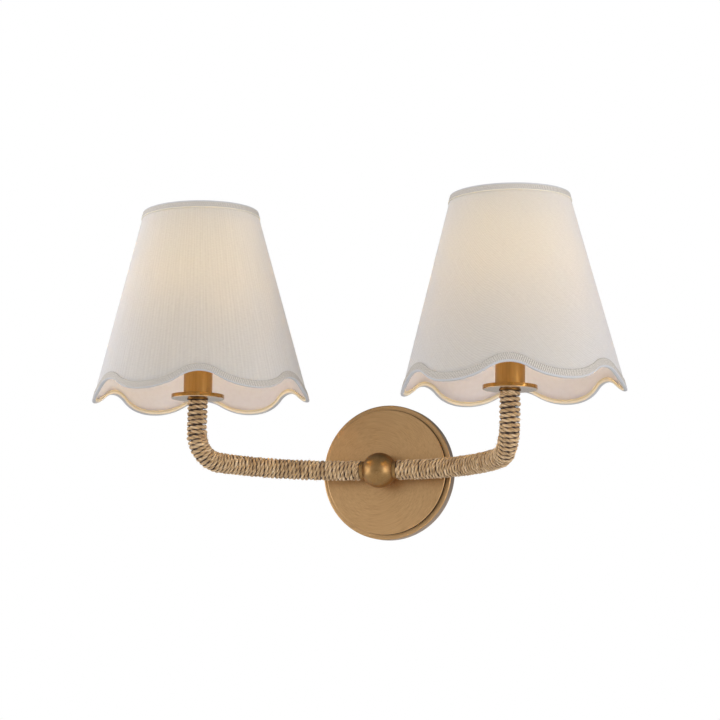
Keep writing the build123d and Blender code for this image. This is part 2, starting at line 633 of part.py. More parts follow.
    with BuildPart() as pan_nut:
        with BuildSketch(lamp_level.offset(PAN_FLOOR_Z)):
            RegularPolygon(PAN_NUT_FLATS / 2, 6, major_radius=False)
            Circle(ARM_HOLE_RADIUS, mode=Mode.SUBTRACT)
        extrude(amount=PAN_NUT_THICK)
    save(pan_nut, f"{side}_pan_nut")

    with BuildPart() as candle_sleeve:
        with BuildSketch(lamp_level.offset(PAN_FLOOR_Z)):
            Circle(SLEEVE_DIA / 2)
            Circle(SLEEVE_DIA / 2 - SLEEVE_WALL, mode=Mode.SUBTRACT)
        extrude(amount=SLEEVE_HEIGHT)
    save(candle_sleeve, f"{side}_candle_sleeve")

    with BuildPart() as socket_body:
        with BuildSketch(lamp_level.offset(SOCKET_Z)):
            Circle(SOCKET_DIA / 2)
        extrude(amount=SOCKET_TOP_Z - SOCKET_Z)
        with BuildSketch(lamp_level.offset(SOCKET_Z)):
            Circle(ARM_HOLE_RADIUS)
        extrude(amount=SOCKET_THREAD_DEPTH, mode=Mode.SUBTRACT)
        with BuildSketch(lamp_level.offset(SHELL_Z)):
            Circle(SHELL_RADIUS)
        extrude(amount=SOCKET_TOP_Z - SHELL_Z, mode=Mode.SUBTRACT)
    save(socket_body, f"{side}_socket_body")

    with BuildPart() as socket_shell:
        with BuildSketch(lamp_level.offset(SHELL_Z)):
            Circle(SHELL_RADIUS)
            Circle(SHELL_BORE_RADIUS, mode=Mode.SUBTRACT)
        extrude(amount=SOCKET_TOP_Z - SHELL_Z - SHELL_BASE_GAP)
    save(socket_shell, f"{side}_socket_shell")

    with BuildPart() as socket_contact:
        with BuildSketch(lamp_level.offset(SHELL_Z)):
            Circle(CONTACT_DIA / 2)
        extrude(amount=CONTACT_PROUD)
    save(socket_contact, f"{side}_socket_contact")

    # Bulb: its contact tip, screw base, glass and filaments
    with BuildPart() as bulb_tip:
        with BuildSketch(lamp_section):
            with BuildLine():
                Polyline(
                    (0, BULB_TIP_Z),
                    (BULB_TIP_FLAT_DIA / 2, BULB_TIP_Z),
                    (BULB_TIP_DIA / 2, BULB_BASE_Z - RUNNING),
                    (0, BULB_BASE_Z - RUNNING),
                    close=True,
                )
            make_face()
        revolve(axis=lamp_axis)
    save(bulb_tip, f"{side}_bulb_tip")

    with BuildPart() as bulb_base:
        with BuildSketch(lamp_level.offset(BULB_BASE_Z)):
            Circle(BULB_BASE_DIA / 2)
        extrude(amount=BULB_BASE_LENGTH)
        chamfer(bulb_base.edges().group_by(Axis.Z)[0], BULB_BASE_CHAMFER)
    save(bulb_base, f"{side}_bulb_base")

    with BuildPart() as bulb_glass:
        for inset, mode in ((0, Mode.ADD), (GLASS_WALL, Mode.SUBTRACT)):
            shoulder, _ = bulb_shoulder(0, inset)
            neck = GLASS_NECK_DIA / 2 - inset
            belly = GLASS_BELLY_DIA / 2 - inset
            with BuildSketch(lamp_section):
                with BuildLine():
                    Bezier(
                        (neck, GLASS_Z),
                        (neck, GLASS_Z + GLASS_NECK_RISE),
                        (belly, GLASS_BELLY_Z - GLASS_BELLY_SWELL),
                        (belly, GLASS_BELLY_Z),
                    )
                    Bezier(*shoulder)
                    Polyline(shoulder[-1], (0, GLASS_Z), (neck, GLASS_Z))
                make_face()
            revolve(axis=lamp_axis, mode=mode)
    save(bulb_glass, f"{side}_bulb_glass")

    with BuildPart() as bulb_filament:
        with BuildSketch(lamp_level.offset(GLASS_Z)):
            Circle(FILAMENT_STEM_DIA / 2)
        extrude(amount=FILAMENT_HIGH)
        with BuildSketch(lamp_level.offset(GLASS_Z + FILAMENT_LOW)):
            with PolarLocations(FILAMENT_CIRCLE_DIA / 2, FILAMENT_COUNT):
                Circle(FILAMENT_DIA / 2)
        extrude(amount=FILAMENT_HIGH - FILAMENT_LOW)
        for plate_height in (FILAMENT_LOW, FILAMENT_HIGH - FILAMENT_PLATE_THICK):
            with BuildSketch(lamp_level.offset(GLASS_Z + plate_height)):
                Circle(FILAMENT_CIRCLE_DIA / 2)
            extrude(amount=FILAMENT_PLATE_THICK)
    save(bulb_filament, f"{side}_bulb_filament")

    # Wire clip: a ring that sits on the bulb's shoulder, legs up to a hub and the rivet through the frame
    # The clip sits a little askew on the bulb, so that it and the shade tilt about the ring's middle.
    _, (seat_radius, seat_z) = bulb_shoulder(CLIP_SEAT_SHARE, 0)
    tilt_x = math.tan(math.radians(tilt_across))
    tilt_y = math.tan(math.radians(tilt_back))
    shade_up = Vector(tilt_x, tilt_y, 1).normalized()
    shade_foot = Vector(lamp_x, -LAMP_FORWARD, seat_z) - shade_up * seat_z
    shade_level = Plane(origin=shade_foot, x_dir=(1, 0, -tilt_x), z_dir=shade_up)
    shade_section = Plane(origin=shade_foot, x_dir=shade_level.x_dir, z_dir=-shade_level.y_dir)
    shade_axis = Axis(shade_foot, shade_up)
    clip_radius = seat_radius + CLIP_RING_WIRE_DIA / 2 + RUNNING
    leg_end = CLIP_HUB_DIA / 2 - CLIP_LEG_IN_HUB
    with BuildPart() as bulb_clip:
        with Locations(shade_level.offset(seat_z)):
            Torus(clip_radius, CLIP_RING_WIRE_DIA / 2)
        with BuildSketch(shade_level.offset(CLIP_HUB_Z - CLIP_HUB_THICK / 2)):
            Circle(CLIP_HUB_DIA / 2)
        extrude(amount=CLIP_HUB_THICK)
        for leg in range(CLIP_LEGS):
            around = math.radians(CLIP_FIRST_LEG) + 2 * math.pi * leg / CLIP_LEGS
            facing, leg_way = shade_ways(shade_level, around)
            leg_plane = Plane(origin=shade_foot, x_dir=leg_way, z_dir=facing)
            with BuildLine(leg_plane) as leg_line:
                FilletPolyline(
                    (clip_radius, seat_z), (clip_radius, CLIP_HUB_Z), (leg_end, CLIP_HUB_Z),
                    radius=CLIP_BEND_RADIUS,
                )
            leg_foot = leg_plane.from_local_coords((clip_radius, seat_z, 0))
            with BuildSketch(Plane(origin=leg_foot, z_dir=shade_up)):
                Circle(CLIP_LEG_WIRE_DIA / 2)
            sweep(path=leg_line.wires()[0])
        with BuildSketch(shade_level.offset(CLIP_HUB_TOP_Z)):
            Circle(RIVET_DIA / 2)
        extrude(amount=RIVET_HEAD_Z - CLIP_HUB_TOP_Z)
        with BuildSketch(shade_level.offset(RIVET_HEAD_Z)):
            Circle(RIVET_HEAD_DIA / 2)
        extrude(amount=RIVET_HEAD_HEIGHT)
    save(bulb_clip, f"{side}_bulb_clip")

    # Shade: a conical wall with a scalloped lower edge
    scallop_planes = []
    for scallop in range(SCALLOP_COUNT):
        around = math.radians(shade_turn) + 2 * math.pi * scallop / SCALLOP_COUNT
        outward, across = shade_ways(shade_level, around)
        scallop_planes.append(Plane(origin=shade_foot, x_dir=across, z_dir=outward))

    with BuildPart() as shade_panel:
        with BuildSketch(shade_section):
            Polygon(*shade_band(BELOW_SHADE_Z, SHADE_TOP_Z - TRIM_THICK, SHADE_WALL, 0), align=None)
        revolve(axis=shade_axis)
        for scallop_plane in scallop_planes:
            with BuildSketch(scallop_plane):
                make_face(scallop_outline(TRIM_THICK))
            extrude(amount=SHADE_BOTTOM_DIA, mode=Mode.SUBTRACT)
    save(shade_panel, f"{side}_shade_panel")

    with BuildPart() as trim_reach:
        for scallop_plane in scallop_planes:
            with BuildSketch(scallop_plane):
                make_face(scallop_outline(BOTTOM_TRIM_HEIGHT))
            extrude(amount=SHADE_BOTTOM_DIA)

    with BuildPart() as shade_bottom_trim:
        with BuildSketch(shade_section):
            Polygon(
                *shade_band(BELOW_SHADE_Z, ABOVE_WAVE_Z, SHADE_WALL + TRIM_THICK, TRIM_THICK), align=None
            )
        revolve(axis=shade_axis)
        add(trim_reach.part, mode=Mode.INTERSECT)
        for scallop_plane in scallop_planes:
            with BuildSketch(scallop_plane):
                make_face(scallop_outline(0))
            extrude(amount=SHADE_BOTTOM_DIA, mode=Mode.SUBTRACT)
        add(shade_panel.part, mode=Mode.SUBTRACT)
    save(shade_bottom_trim, f"{side}_shade_bottom_trim")

    with BuildPart() as shade_top_trim:
        with BuildSketch(shade_section):
            Polygon(*shade_band(SHADE_TOP_Z - TOP_TRIM_HEIGHT, SHADE_TOP_Z, 0, TRIM_THICK), align=None)
            Polygon(
                *shade_band(SHADE_TOP_Z - TRIM_THICK, SHADE_TOP_Z, SHADE_WALL + TRIM_THICK, 0), align=None
            )
            Polygon(
                *shade_band(SHADE_TOP_Z - TOP_TRIM_INSIDE, SHADE_TOP_Z, SHADE_WALL + TRIM_THICK, -SHADE_WALL),
                align=None,
            )
        revolve(axis=shade_axis)
    save(shade_top_trim, f"{side}_shade_top_trim")

    # Wire frame inside the shade's top: ring, spokes and the hub that turns on the clip's rivet
    wire_radius = FRAME_RING_WIRE_DIA / 2
    ring_z = SHADE_TOP_Z - TOP_TRIM_INSIDE - wire_radius - SLIP
    ring_radius = shade_radius(ring_z) - SHADE_WALL - (wire_radius + SLIP) / math.cos(SHADE_LEAN)
    hub_middle_z = FRAME_HUB_Z + FRAME_HUB_THICK / 2
    spoke_inner = FRAME_HUB_DIA / 2 - FRAME_SPOKE_IN_HUB
    with BuildPart() as shade_frame:
        with Locations(shade_level.offset(ring_z)):
            Torus(ring_radius, wire_radius)
        with BuildSketch(shade_level.offset(FRAME_HUB_Z)):
            Circle(FRAME_HUB_DIA / 2)
        extrude(amount=FRAME_HUB_THICK)
        for spoke in range(FRAME_SPOKES):
            around = math.radians(shade_turn) + 2 * math.pi * spoke / FRAME_SPOKES
            outward, _ = shade_ways(shade_level, around)
            spoke_start = shade_foot + outward * spoke_inner + shade_up * hub_middle_z
            spoke_end = shade_foot + outward * ring_radius + shade_up * ring_z
            with BuildSketch(Plane(origin=spoke_start, z_dir=spoke_end - spoke_start)):
                Circle(FRAME_SPOKE_DIA / 2)
            extrude(amount=(spoke_end - spoke_start).length)
        with BuildSketch(shade_level.offset(FRAME_HUB_Z)):
            Circle(RIVET_DIA / 2 + SLIP)
        extrude(amount=RIVET_HEAD_Z - FRAME_HUB_Z, mode=Mode.SUBTRACT)
    save(shade_frame, f"{side}_shade_frame")
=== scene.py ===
"""Looks of the two-lamp wall sconce: aged brass, rope-wound arms and scalloped linen shades."""

import math

import bpy
from mathutils import Matrix, Vector


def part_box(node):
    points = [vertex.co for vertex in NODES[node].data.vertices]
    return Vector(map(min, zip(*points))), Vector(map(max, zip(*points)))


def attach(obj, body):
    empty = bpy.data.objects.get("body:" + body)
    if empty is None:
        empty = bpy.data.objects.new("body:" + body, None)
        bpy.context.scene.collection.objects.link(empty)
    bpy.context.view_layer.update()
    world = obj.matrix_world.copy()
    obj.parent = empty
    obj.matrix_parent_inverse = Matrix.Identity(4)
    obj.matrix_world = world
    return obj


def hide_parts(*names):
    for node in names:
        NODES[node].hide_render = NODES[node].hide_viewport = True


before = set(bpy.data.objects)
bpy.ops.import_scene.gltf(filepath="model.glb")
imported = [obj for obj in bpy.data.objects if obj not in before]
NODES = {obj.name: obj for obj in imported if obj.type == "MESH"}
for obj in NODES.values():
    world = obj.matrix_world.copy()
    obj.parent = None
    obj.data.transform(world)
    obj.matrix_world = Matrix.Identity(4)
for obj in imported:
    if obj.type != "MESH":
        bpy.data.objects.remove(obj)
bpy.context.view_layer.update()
SIDES = (("left", -1), ("right", 1))

# Sizes in metres, as in the part's source apart from the rope and the hem ribbon, which follow the photograph
HUB_FORWARD = 0.0325
ARM_STRAIGHT = 0.020
ARM_REACH = 0.1505
LAMP_FORWARD = 0.115
ARM_RISE = math.radians(3.4)
ELBOW_REACH = 0.025
ARM_TUBE_RADIUS = 0.00515
ROPE_RADIUS = 0.0022
FIRST_ROPE_LENGTH = 0.104
WRAP_START_ANGLE = math.pi / 2

SHADE_TOP_Z = 0.237
SHADE_BOTTOM_Z = 0.0582
SHADE_TOP_RADIUS = 0.053
SHADE_BOTTOM_RADIUS = 0.0997
SHADE_WALL = 0.0012
SCALLOPS = 6
SCALLOP_DEPTH = 0.0142
ARCH_SHARE = 0.34
SHADE_TURN = {"left": math.radians(22.2), "right": math.radians(13.7)}
SHADE_TILT = {
    "left": (math.radians(-1.9), math.radians(0.9)),
    "right": (math.radians(-1.55), math.radians(0.2)),
}
SHADE_SEAT_Z = 0.1882
TRIM_THICK = 0.0008
TOP_TRIM_HEIGHT = 0.0068
TOP_TRIM_INSIDE = 0.003
HEM_HEIGHT = {"left": 0.0065, "right": 0.0079}
HEM_INSIDE = 0.0032
RIB_PITCH = 0.0017
RIB_HEIGHT = 0.00003
RIB_LEAN = 0.0052

# Rope lay
RUN_PITCH = 0.0040
ELBOW_PITCH = 0.0035
RISER_PITCH = 0.0047
STRANDS = 3
STRAND_RADIUS = 0.00128
LAY_RADIUS = 0.00100
LAY_LENGTH = 0.017
CLOSING_TURN = 0.75
ROPE_STEP = 0.0008
ROPE_POINTS_PER_TURN = 24
ROPE_END_ROOM = 0.9 * ROPE_RADIUS
ROPE_SWAY = ((0.04, 2.3), (0.03, 5.1), (0.03, 9.7))
ROPE_SWELL = ((0.020, 3.7), (0.014, 8.3))
FIBRE_DENSITY = 40000.0
FIBRE_LENGTH = 0.0025
FIBRE_THICKNESS = 0.022
FIBRE_SPIN = 6.283
FIRST_SEED = 3

SHADE_SLOPE = (SHADE_BOTTOM_RADIUS - SHADE_TOP_RADIUS) / (SHADE_TOP_Z - SHADE_BOTTOM_Z)
WAVE_HALF = SHADE_BOTTOM_RADIUS * math.sin(math.pi / SCALLOPS)
WAVE_BEND = 2 * math.atan(SCALLOP_DEPTH / WAVE_HALF)
ARCH_REACH = ARCH_SHARE * WAVE_HALF
SWEEP_WAY = Vector((0, -math.cos(ARM_RISE), math.sin(ARM_RISE)))
SWEEP_ACROSS = ARM_REACH - ARM_STRAIGHT
SWEEP_FORWARD = (LAMP_FORWARD - HUB_FORWARD) / math.cos(ARM_RISE)
SWEEP_ANGLE = 2 * math.atan(SWEEP_FORWARD / (SWEEP_ACROSS + ELBOW_REACH))
SWEEP_RADIUS = (SWEEP_ACROSS - ELBOW_REACH * math.cos(SWEEP_ANGLE)) / math.sin(SWEEP_ANGLE)
ELBOW_START = math.asin(math.sin(SWEEP_ANGLE) * math.sin(ARM_RISE))
ELBOW_RADIUS = ELBOW_REACH * math.cos(ELBOW_START) / (1 - math.sin(ELBOW_START))
ELBOW_LENGTH = ELBOW_RADIUS * (math.pi / 2 - ELBOW_START)
ELBOW_DISTANCE = ARM_STRAIGHT + SWEEP_RADIUS * SWEEP_ANGLE
STEM_DISTANCE = ELBOW_DISTANCE + ELBOW_LENGTH


def lamp_axis(sign):
    """Foot of a lamp's upright axis, level with the hub."""
    return Vector((sign * ARM_REACH, -LAMP_FORWARD, 0))


def tilted_place(side, sign):
    """Takes a point of the upright shade, measured from its axis, to where the tilted shade has it."""
    tilt_x, tilt_y = (math.tan(angle) for angle in SHADE_TILT[side])
    up = Vector((tilt_x, tilt_y, 1)).normalized()
    level = Vector((1, 0, -tilt_x)).normalized()
    inward = up.cross(level)
    foot = lamp_axis(sign) + Vector((0, 0, SHADE_SEAT_Z)) - up * SHADE_SEAT_Z
    return lambda point: foot + level * point.x + inward * point.y + up * point.z


# Node helpers


def add(tree, kind, inputs=None, **settings):
    """A new node with its settings made and its inputs set or joined."""
    node = tree.nodes.new(kind)
    for name, value in settings.items():
        setattr(node, name, value)
    for key, value in (inputs or {}).items():
        if isinstance(value, bpy.types.NodeSocket):
            tree.links.new(value, node.inputs[key])
        else:
            node.inputs[key].default_value = value
    return node


def calc(tree, operation, first, second=0.0):
    return add(tree, "ShaderNodeMath", {0: first, 1: second}, operation=operation).outputs[0]


def vector_calc(tree, operation, first, second=(0, 0, 0)):
    node = add(tree, "ShaderNodeVectorMath", {0: first, 1: second}, operation=operation)
    return node.outputs["Value" if operation in ("LENGTH", "DOT_PRODUCT") else "Vector"]


def scaled(tree, vector, amount):
    node = add(tree, "ShaderNodeVectorMath", {0: vector, "Scale": amount}, operation="SCALE")
    return node.outputs["Vector"]


def join_xyz(tree, x, y, z):
    return add(tree, "ShaderNodeCombineXYZ", {0: x, 1: y, 2: z}).outputs[0]


def noise(tree, vector, scale, detail=3.0, roughness=0.55):
    node = add(tree, "ShaderNodeTexNoise", {"Vector": vector, "Scale": scale, "Detail": detail})
    node.inputs["Roughness"].default_value = roughness
    return node.outputs[0]


def span(tree, factor, low, high, from_low=0.0, from_high=1.0):
    """A number that goes from low to high as factor goes over its range."""
    node = add(tree, "ShaderNodeMapRange", {0: factor, 1: from_low, 2: from_high, 3: low, 4: high})
    return node.outputs[0]


def shades(tree, factor, *stops):
    """A colour picked from stops of (position, colour) by a factor."""
    node = add(tree, "ShaderNodeValToRGB", {0: factor})
    ramp = node.color_ramp
    while len(ramp.elements) < len(stops):
        ramp.elements.new(0.5)
    for element, (position, colour) in zip(ramp.elements, stops):
        element.position = position
        element.color = (*colour, 1.0)
    return node.outputs[0]


def blend_colour(tree, factor, first, second, mode="MIX"):
    node = add(tree, "ShaderNodeMix", {0: factor}, data_type="RGBA", blend_type=mode)
    for index, value in ((6, first), (7, second)):
        if isinstance(value, bpy.types.NodeSocket):
            tree.links.new(value, node.inputs[index])
        else:
            node.inputs[index].default_value = (*value, 1.0)
    return node.outputs[2]


def bump(tree, height, distance, strength):
    node = add(tree, "ShaderNodeBump", {"Height": height, "Distance": distance, "Strength": strength})
    return node.outputs[0]


def mix_surfaces(tree, share, first, second):
    return add(tree, "ShaderNodeMixShader", {0: share, 1: first, 2: second}).outputs[0]


def stored(tree, geometry, name, value, kind="FLOAT"):
    """Geometry with a value kept on it under a name."""
    inputs = {"Geometry": geometry, "Name": name, "Value": value}
    return add(tree, "GeometryNodeStoreNamedAttribute", inputs, data_type=kind).outputs[0]


def named(tree, name):
    """A vector that geometry keeps under a name."""
    return add(tree, "GeometryNodeInputNamedAttribute", {"Name": name}, data_type="FLOAT_VECTOR").outputs[0]


def new_finish(name, **sockets):
    """A material with its Principled node's plain sockets set."""
    material = bpy.data.materials.new(name)
    material.use_nodes = True
    tree = material.node_tree
    surface = tree.nodes["Principled BSDF"]
    for key, value in sockets.items():
        surface.inputs[key.replace("_", " ").title().replace("Ior", "IOR")].default_value = value
    return material, tree, surface


def place_of(tree, centre=(0, 0, 0)):
    """Object coordinates measured from a centre."""
    spot = add(tree, "ShaderNodeTexCoord").outputs["Object"]
    return add(tree, "ShaderNodeMapping", {"Vector": spot, "Location": [-x for x in centre]}).outputs[0]


def lathe_place(tree, centre, axis):
    """Unit direction away from a lathe axis, distance from it and height along it."""
    spot = place_of(tree, centre)
    parts = add(tree, "ShaderNodeSeparateXYZ", {0: spot})
    along = parts.outputs["XYZ".index(axis)]
    flat = [parts.outputs[i] if "XYZ"[i] != axis else 0.0 for i in range(3)]
    outward = join_xyz(tree, *flat)
    radius = vector_calc(tree, "LENGTH", outward)
    return vector_calc(tree, "NORMALIZE", outward), radius, along


# Metals

BRASS_DARK = (0.430, 0.262, 0.115)
BRASS_MID = (0.570, 0.362, 0.172)
BRASS_LIGHT = (0.680, 0.455, 0.232)
PLATE_TINT = (1.04, 0.995, 0.985)
HUB_TINT = (0.62, 0.56, 0.46)
STEM_TINT = (0.84, 0.70, 0.43)
# painted shade: near-black colour on the face disc's side wall, for the shadow in the groove
DISC_SIDE_PAINTED_SHADE = (0.030, 0.018, 0.009)
# painted reflection: paler colour on the drip pan's underside, for the white floor it reflects
PAN_UNDERSIDE_PAINTED_REFLECTION = (0.92, 0.730, 0.570)
UNDER_PAN_TOP_Z = 0.0616
# painted shade: the neck ring's brass is darkened for the shadow it sits in under the pan
NECK_RING_PAINTED_SHADE = (0.30, 0.23, 0.13)
# painted reflection: colour given to the canopy base's outer side wall for what it reflects
CANOPY_SIDE_PAINTED_REFLECTION = (0.52, 0.39, 0.29)
BASE_SIDE_RADIUS = 0.0625
BASE_FRONT_Y = -0.0098
DISC_SIDE_RADIUS = 0.0586
DISC_FRONT_Y = -0.0143


def brass_finish(name, centre, axis, grain, tint=(1, 1, 1), sheen=(0.30, 0.46), painted_underside=None, painted_side=None):
    """Aged brass brushed in rings round an axis or in lines along it; sheen is its least and most roughness.

    Below a height it may take a colour of painted reflection. Past a distance from the axis, and behind a
    height, it may take another painted colour: painted reflection on the canopy's side wall, painted shade on
    the disc's side.
    """
    material, tree, surface = new_finish(name, metallic=1.0)
    outward, radius, along = lathe_place(tree, centre, axis)
    if grain == "rings":
        across = calc(tree, "ADD", radius, along)
        fine = vector_calc(tree, "ADD", scaled(tree, outward, 14.0),
                           join_xyz(tree, calc(tree, "MULTIPLY", across, 1900.0), 0.0, 0.0))
        broad = vector_calc(tree, "ADD", scaled(tree, outward, 7.0),
                            join_xyz(tree, calc(tree, "MULTIPLY", across, 420.0), 0.0, 0.0))
    else:
        fine = vector_calc(tree, "ADD", scaled(tree, outward, 30.0),
                           join_xyz(tree, 0.0, 0.0, calc(tree, "MULTIPLY", along, 45.0)))
        broad = vector_calc(tree, "ADD", scaled(tree, outward, 7.0),
                            join_xyz(tree, 0.0, 0.0, calc(tree, "MULTIPLY", along, 12.0)))
    scratches = noise(tree, fine, 1.0, 4.0)
    streaks = noise(tree, broad, 1.0, 2.0)
    patina = noise(tree, place_of(tree, centre), 38.0, 3.0)
    tone = calc(tree, "ADD", calc(tree, "MULTIPLY", scratches, 0.62), calc(tree, "MULTIPLY", streaks, 0.23))
    tone = calc(tree, "ADD", tone, calc(tree, "MULTIPLY", patina, 0.15))
    stops = [
        (position, tuple(c * t for c, t in zip(colour, tint)))
        for position, colour in ((0.30, BRASS_DARK), (0.50, BRASS_MID), (0.72, BRASS_LIGHT))
    ]
    colour = shades(tree, tone, *stops)
    # painted reflection: a paler colour below a height, for what the underside reflects
    if painted_underside:
        height, painted_colour = painted_underside
        colour = blend_colour(tree, calc(tree, "LESS_THAN", along, height), colour, painted_colour)
    # painted colour on a side wall, past a distance and behind a height: painted reflection on the canopy,
    # painted shade on the disc
    if painted_side:
        reach, height, painted_colour = painted_side
        on_painted_side = calc(tree, "MULTIPLY", calc(tree, "GREATER_THAN", radius, reach),
                      calc(tree, "GREATER_THAN", along, height))
        colour = blend_colour(tree, on_painted_side, colour, painted_colour)
    tree.links.new(colour, surface.inputs["Base Color"])
    tree.links.new(span(tree, tone, *sheen, 0.3, 0.7), surface.inputs["Roughness"])
    tree.links.new(bump(tree, scratches, 0.00005, 0.35), surface.inputs["Normal"])
    return material


def plain_metal(name, colour, roughness, wear_scale):
    """Plated steel or bright brass with a faint mottled finish."""
    material, tree, surface = new_finish(name, metallic=1.0)
    spots = noise(tree, place_of(tree), wear_scale, 4.0)
    darker = tuple(c * 0.78 for c in colour)
    tree.links.new(shades(tree, spots, (0.3, darker), (0.65, colour)), surface.inputs["Base Color"])
    tree.links.new(span(tree, spots, roughness - 0.06, roughness + 0.10), surface.inputs["Roughness"])
    tree.links.new(bump(tree, spots, 0.00004, 0.3), surface.inputs["Normal"])
    return material


def moulded(name, colour, roughness, speck_scale):
    """Moulded, painted or enamelled surface with a little unevenness."""
    material, tree, surface = new_finish(name)
    specks = noise(tree, place_of(tree), speck_scale, 3.0)
    darker = tuple(c * 0.85 for c in colour)
    tree.links.new(shades(tree, specks, (0.3, darker), (0.6, colour)), surface.inputs["Base Color"])
    tree.links.new(span(tree, specks, roughness - 0.05, roughness + 0.08), surface.inputs["Roughness"])
    tree.links.new(bump(tree, specks, 0.00005, 0.3), surface.inputs["Normal"])
    return material


BULB_GLOW = 3.9
BULB_BELLY_Z = (0.125, 0.165)


def lit_bulb_finish():
    """Frosted glass of a lit bulb, a little brighter at its belly and deeper in colour at its rim."""
    material, tree, surface = new_finish(
        "lit_bulb", base_color=(1.0, 0.93, 0.82, 1.0), roughness=0.35, transmission_weight=0.35
    )
    parts = add(tree, "ShaderNodeSeparateXYZ", {0: place_of(tree)})
    belly = span(tree, parts.outputs[2], 0.0, 1.0, *BULB_BELLY_Z)
    cloud = noise(tree, place_of(tree), 140.0, 2.0)
    warm = shades(tree, calc(tree, "MULTIPLY", belly, span(tree, cloud, 0.9, 1.05)),
                  (0.0, (1.0, 0.67, 0.22)), (1.0, (1.0, 0.81, 0.34)))
    aside = add(tree, "ShaderNodeLayerWeight", {"Blend": 0.5}).outputs["Facing"]
    rim = shades(tree, aside, (0.45, (1.0, 1.0, 1.0)), (0.95, (0.30, 0.20, 0.12)))
    warm = blend_colour(tree, 1.0, warm, rim, "MULTIPLY")
    tree.links.new(warm, surface.inputs["Emission Color"])
    surface.inputs["Emission Strength"].default_value = BULB_GLOW
    tree.links.new(bump(tree, cloud, 0.00003, 0.2), surface.inputs["Normal"])
    return material


# Fibres and cloth

LINEN_THROUGH = 0.5
LINING_THROUGH = 0.40
THROUGH_TINT = (0.92, 0.90, 0.58)
# darkening of the ribbed side: partly the ribbon's own tone, partly painted shade that differs between hem
# and top binding
RIBBON_TONE_AND_SHADE = (0.84, 0.84, 0.84)
HEM_TONE_AND_SHADE_SHARE = 0.4
BINDING_TONE_AND_SHADE_SHARE = 0.1
TWILL_PITCH = 0.0021
THREAD_PITCH = 0.0011
CORD_PITCH = 0.0030


def rope_number(tree, name):
    """A number that the rope's mesh keeps under a name."""
    return add(tree, "ShaderNodeAttribute", attribute_name=f"rope_{name}").outputs["Fac"]


def rope_finish():
    """Twisted natural fibre: straw streaks along each strand, with painted shade in the valleys between turns
    and where strands press together.
    """
    material, tree, surface = new_finish("rope_fibre", sheen_weight=0.25, sheen_roughness=0.5)
    names = ("along", "around", "strand", "reach", "groove")
    along, around, strand, reach, groove = (rope_number(tree, name) for name in names)
    twisted = calc(tree, "SUBTRACT", around, calc(tree, "DIVIDE", along, LAY_LENGTH))
    angle = calc(tree, "MULTIPLY", twisted, 2 * math.pi)
    shift = calc(tree, "MULTIPLY", strand, 3.7)
    run = calc(tree, "ADD", calc(tree, "MULTIPLY", along, 90.0), shift)
    fibre_place = join_xyz(tree, calc(tree, "MULTIPLY", calc(tree, "COSINE", angle), 2.4),
                           calc(tree, "MULTIPLY", calc(tree, "SINE", angle), 2.4), run)
    fibres = noise(tree, fibre_place, 1.0, 4.0, 0.65)
    lengths = noise(tree, join_xyz(tree, calc(tree, "MULTIPLY", along, 38.0), shift, 0.0), 1.0, 2.0)
    tone = calc(tree, "ADD", calc(tree, "MULTIPLY", fibres, 0.68), calc(tree, "MULTIPLY", lengths, 0.32))
    colour = shades(tree, tone, (0.36, (0.110, 0.055, 0.020)), (0.45, (0.450, 0.270, 0.120)),
                    (0.55, (0.740, 0.510, 0.275)), (0.66, (0.980, 0.810, 0.590)))
    # painted shade: darker where the rope surface lies low, in the valleys between turns
    valley_painted_shade = shades(tree, reach, (0.30, (0.10, 0.06, 0.045)), (0.74, (1.0, 1.0, 1.0)))
    colour = blend_colour(tree, 1.0, colour, valley_painted_shade, "MULTIPLY")
    # painted shade: darker near the rope's middle, in the grooves between strands
    groove = shades(tree, groove, (0.50, (0.34, 0.23, 0.16)), (0.78, (1.0, 1.0, 1.0)))
    tree.links.new(blend_colour(tree, 1.0, colour, groove, "MULTIPLY"), surface.inputs["Base Color"])
    tree.links.new(span(tree, fibres, 0.85, 0.62), surface.inputs["Roughness"])
    tree.links.new(bump(tree, fibres, 0.00022, 0.9), surface.inputs["Normal"])
    return material


def cloth_place(tree):
    """Distances in metres along the cloth's weft and warp, from its UV map."""
    parts = add(tree, "ShaderNodeSeparateXYZ", {0: add(tree, "ShaderNodeUVMap", uv_map="cloth").outputs[0]})
    return parts.outputs[0], parts.outputs[1]


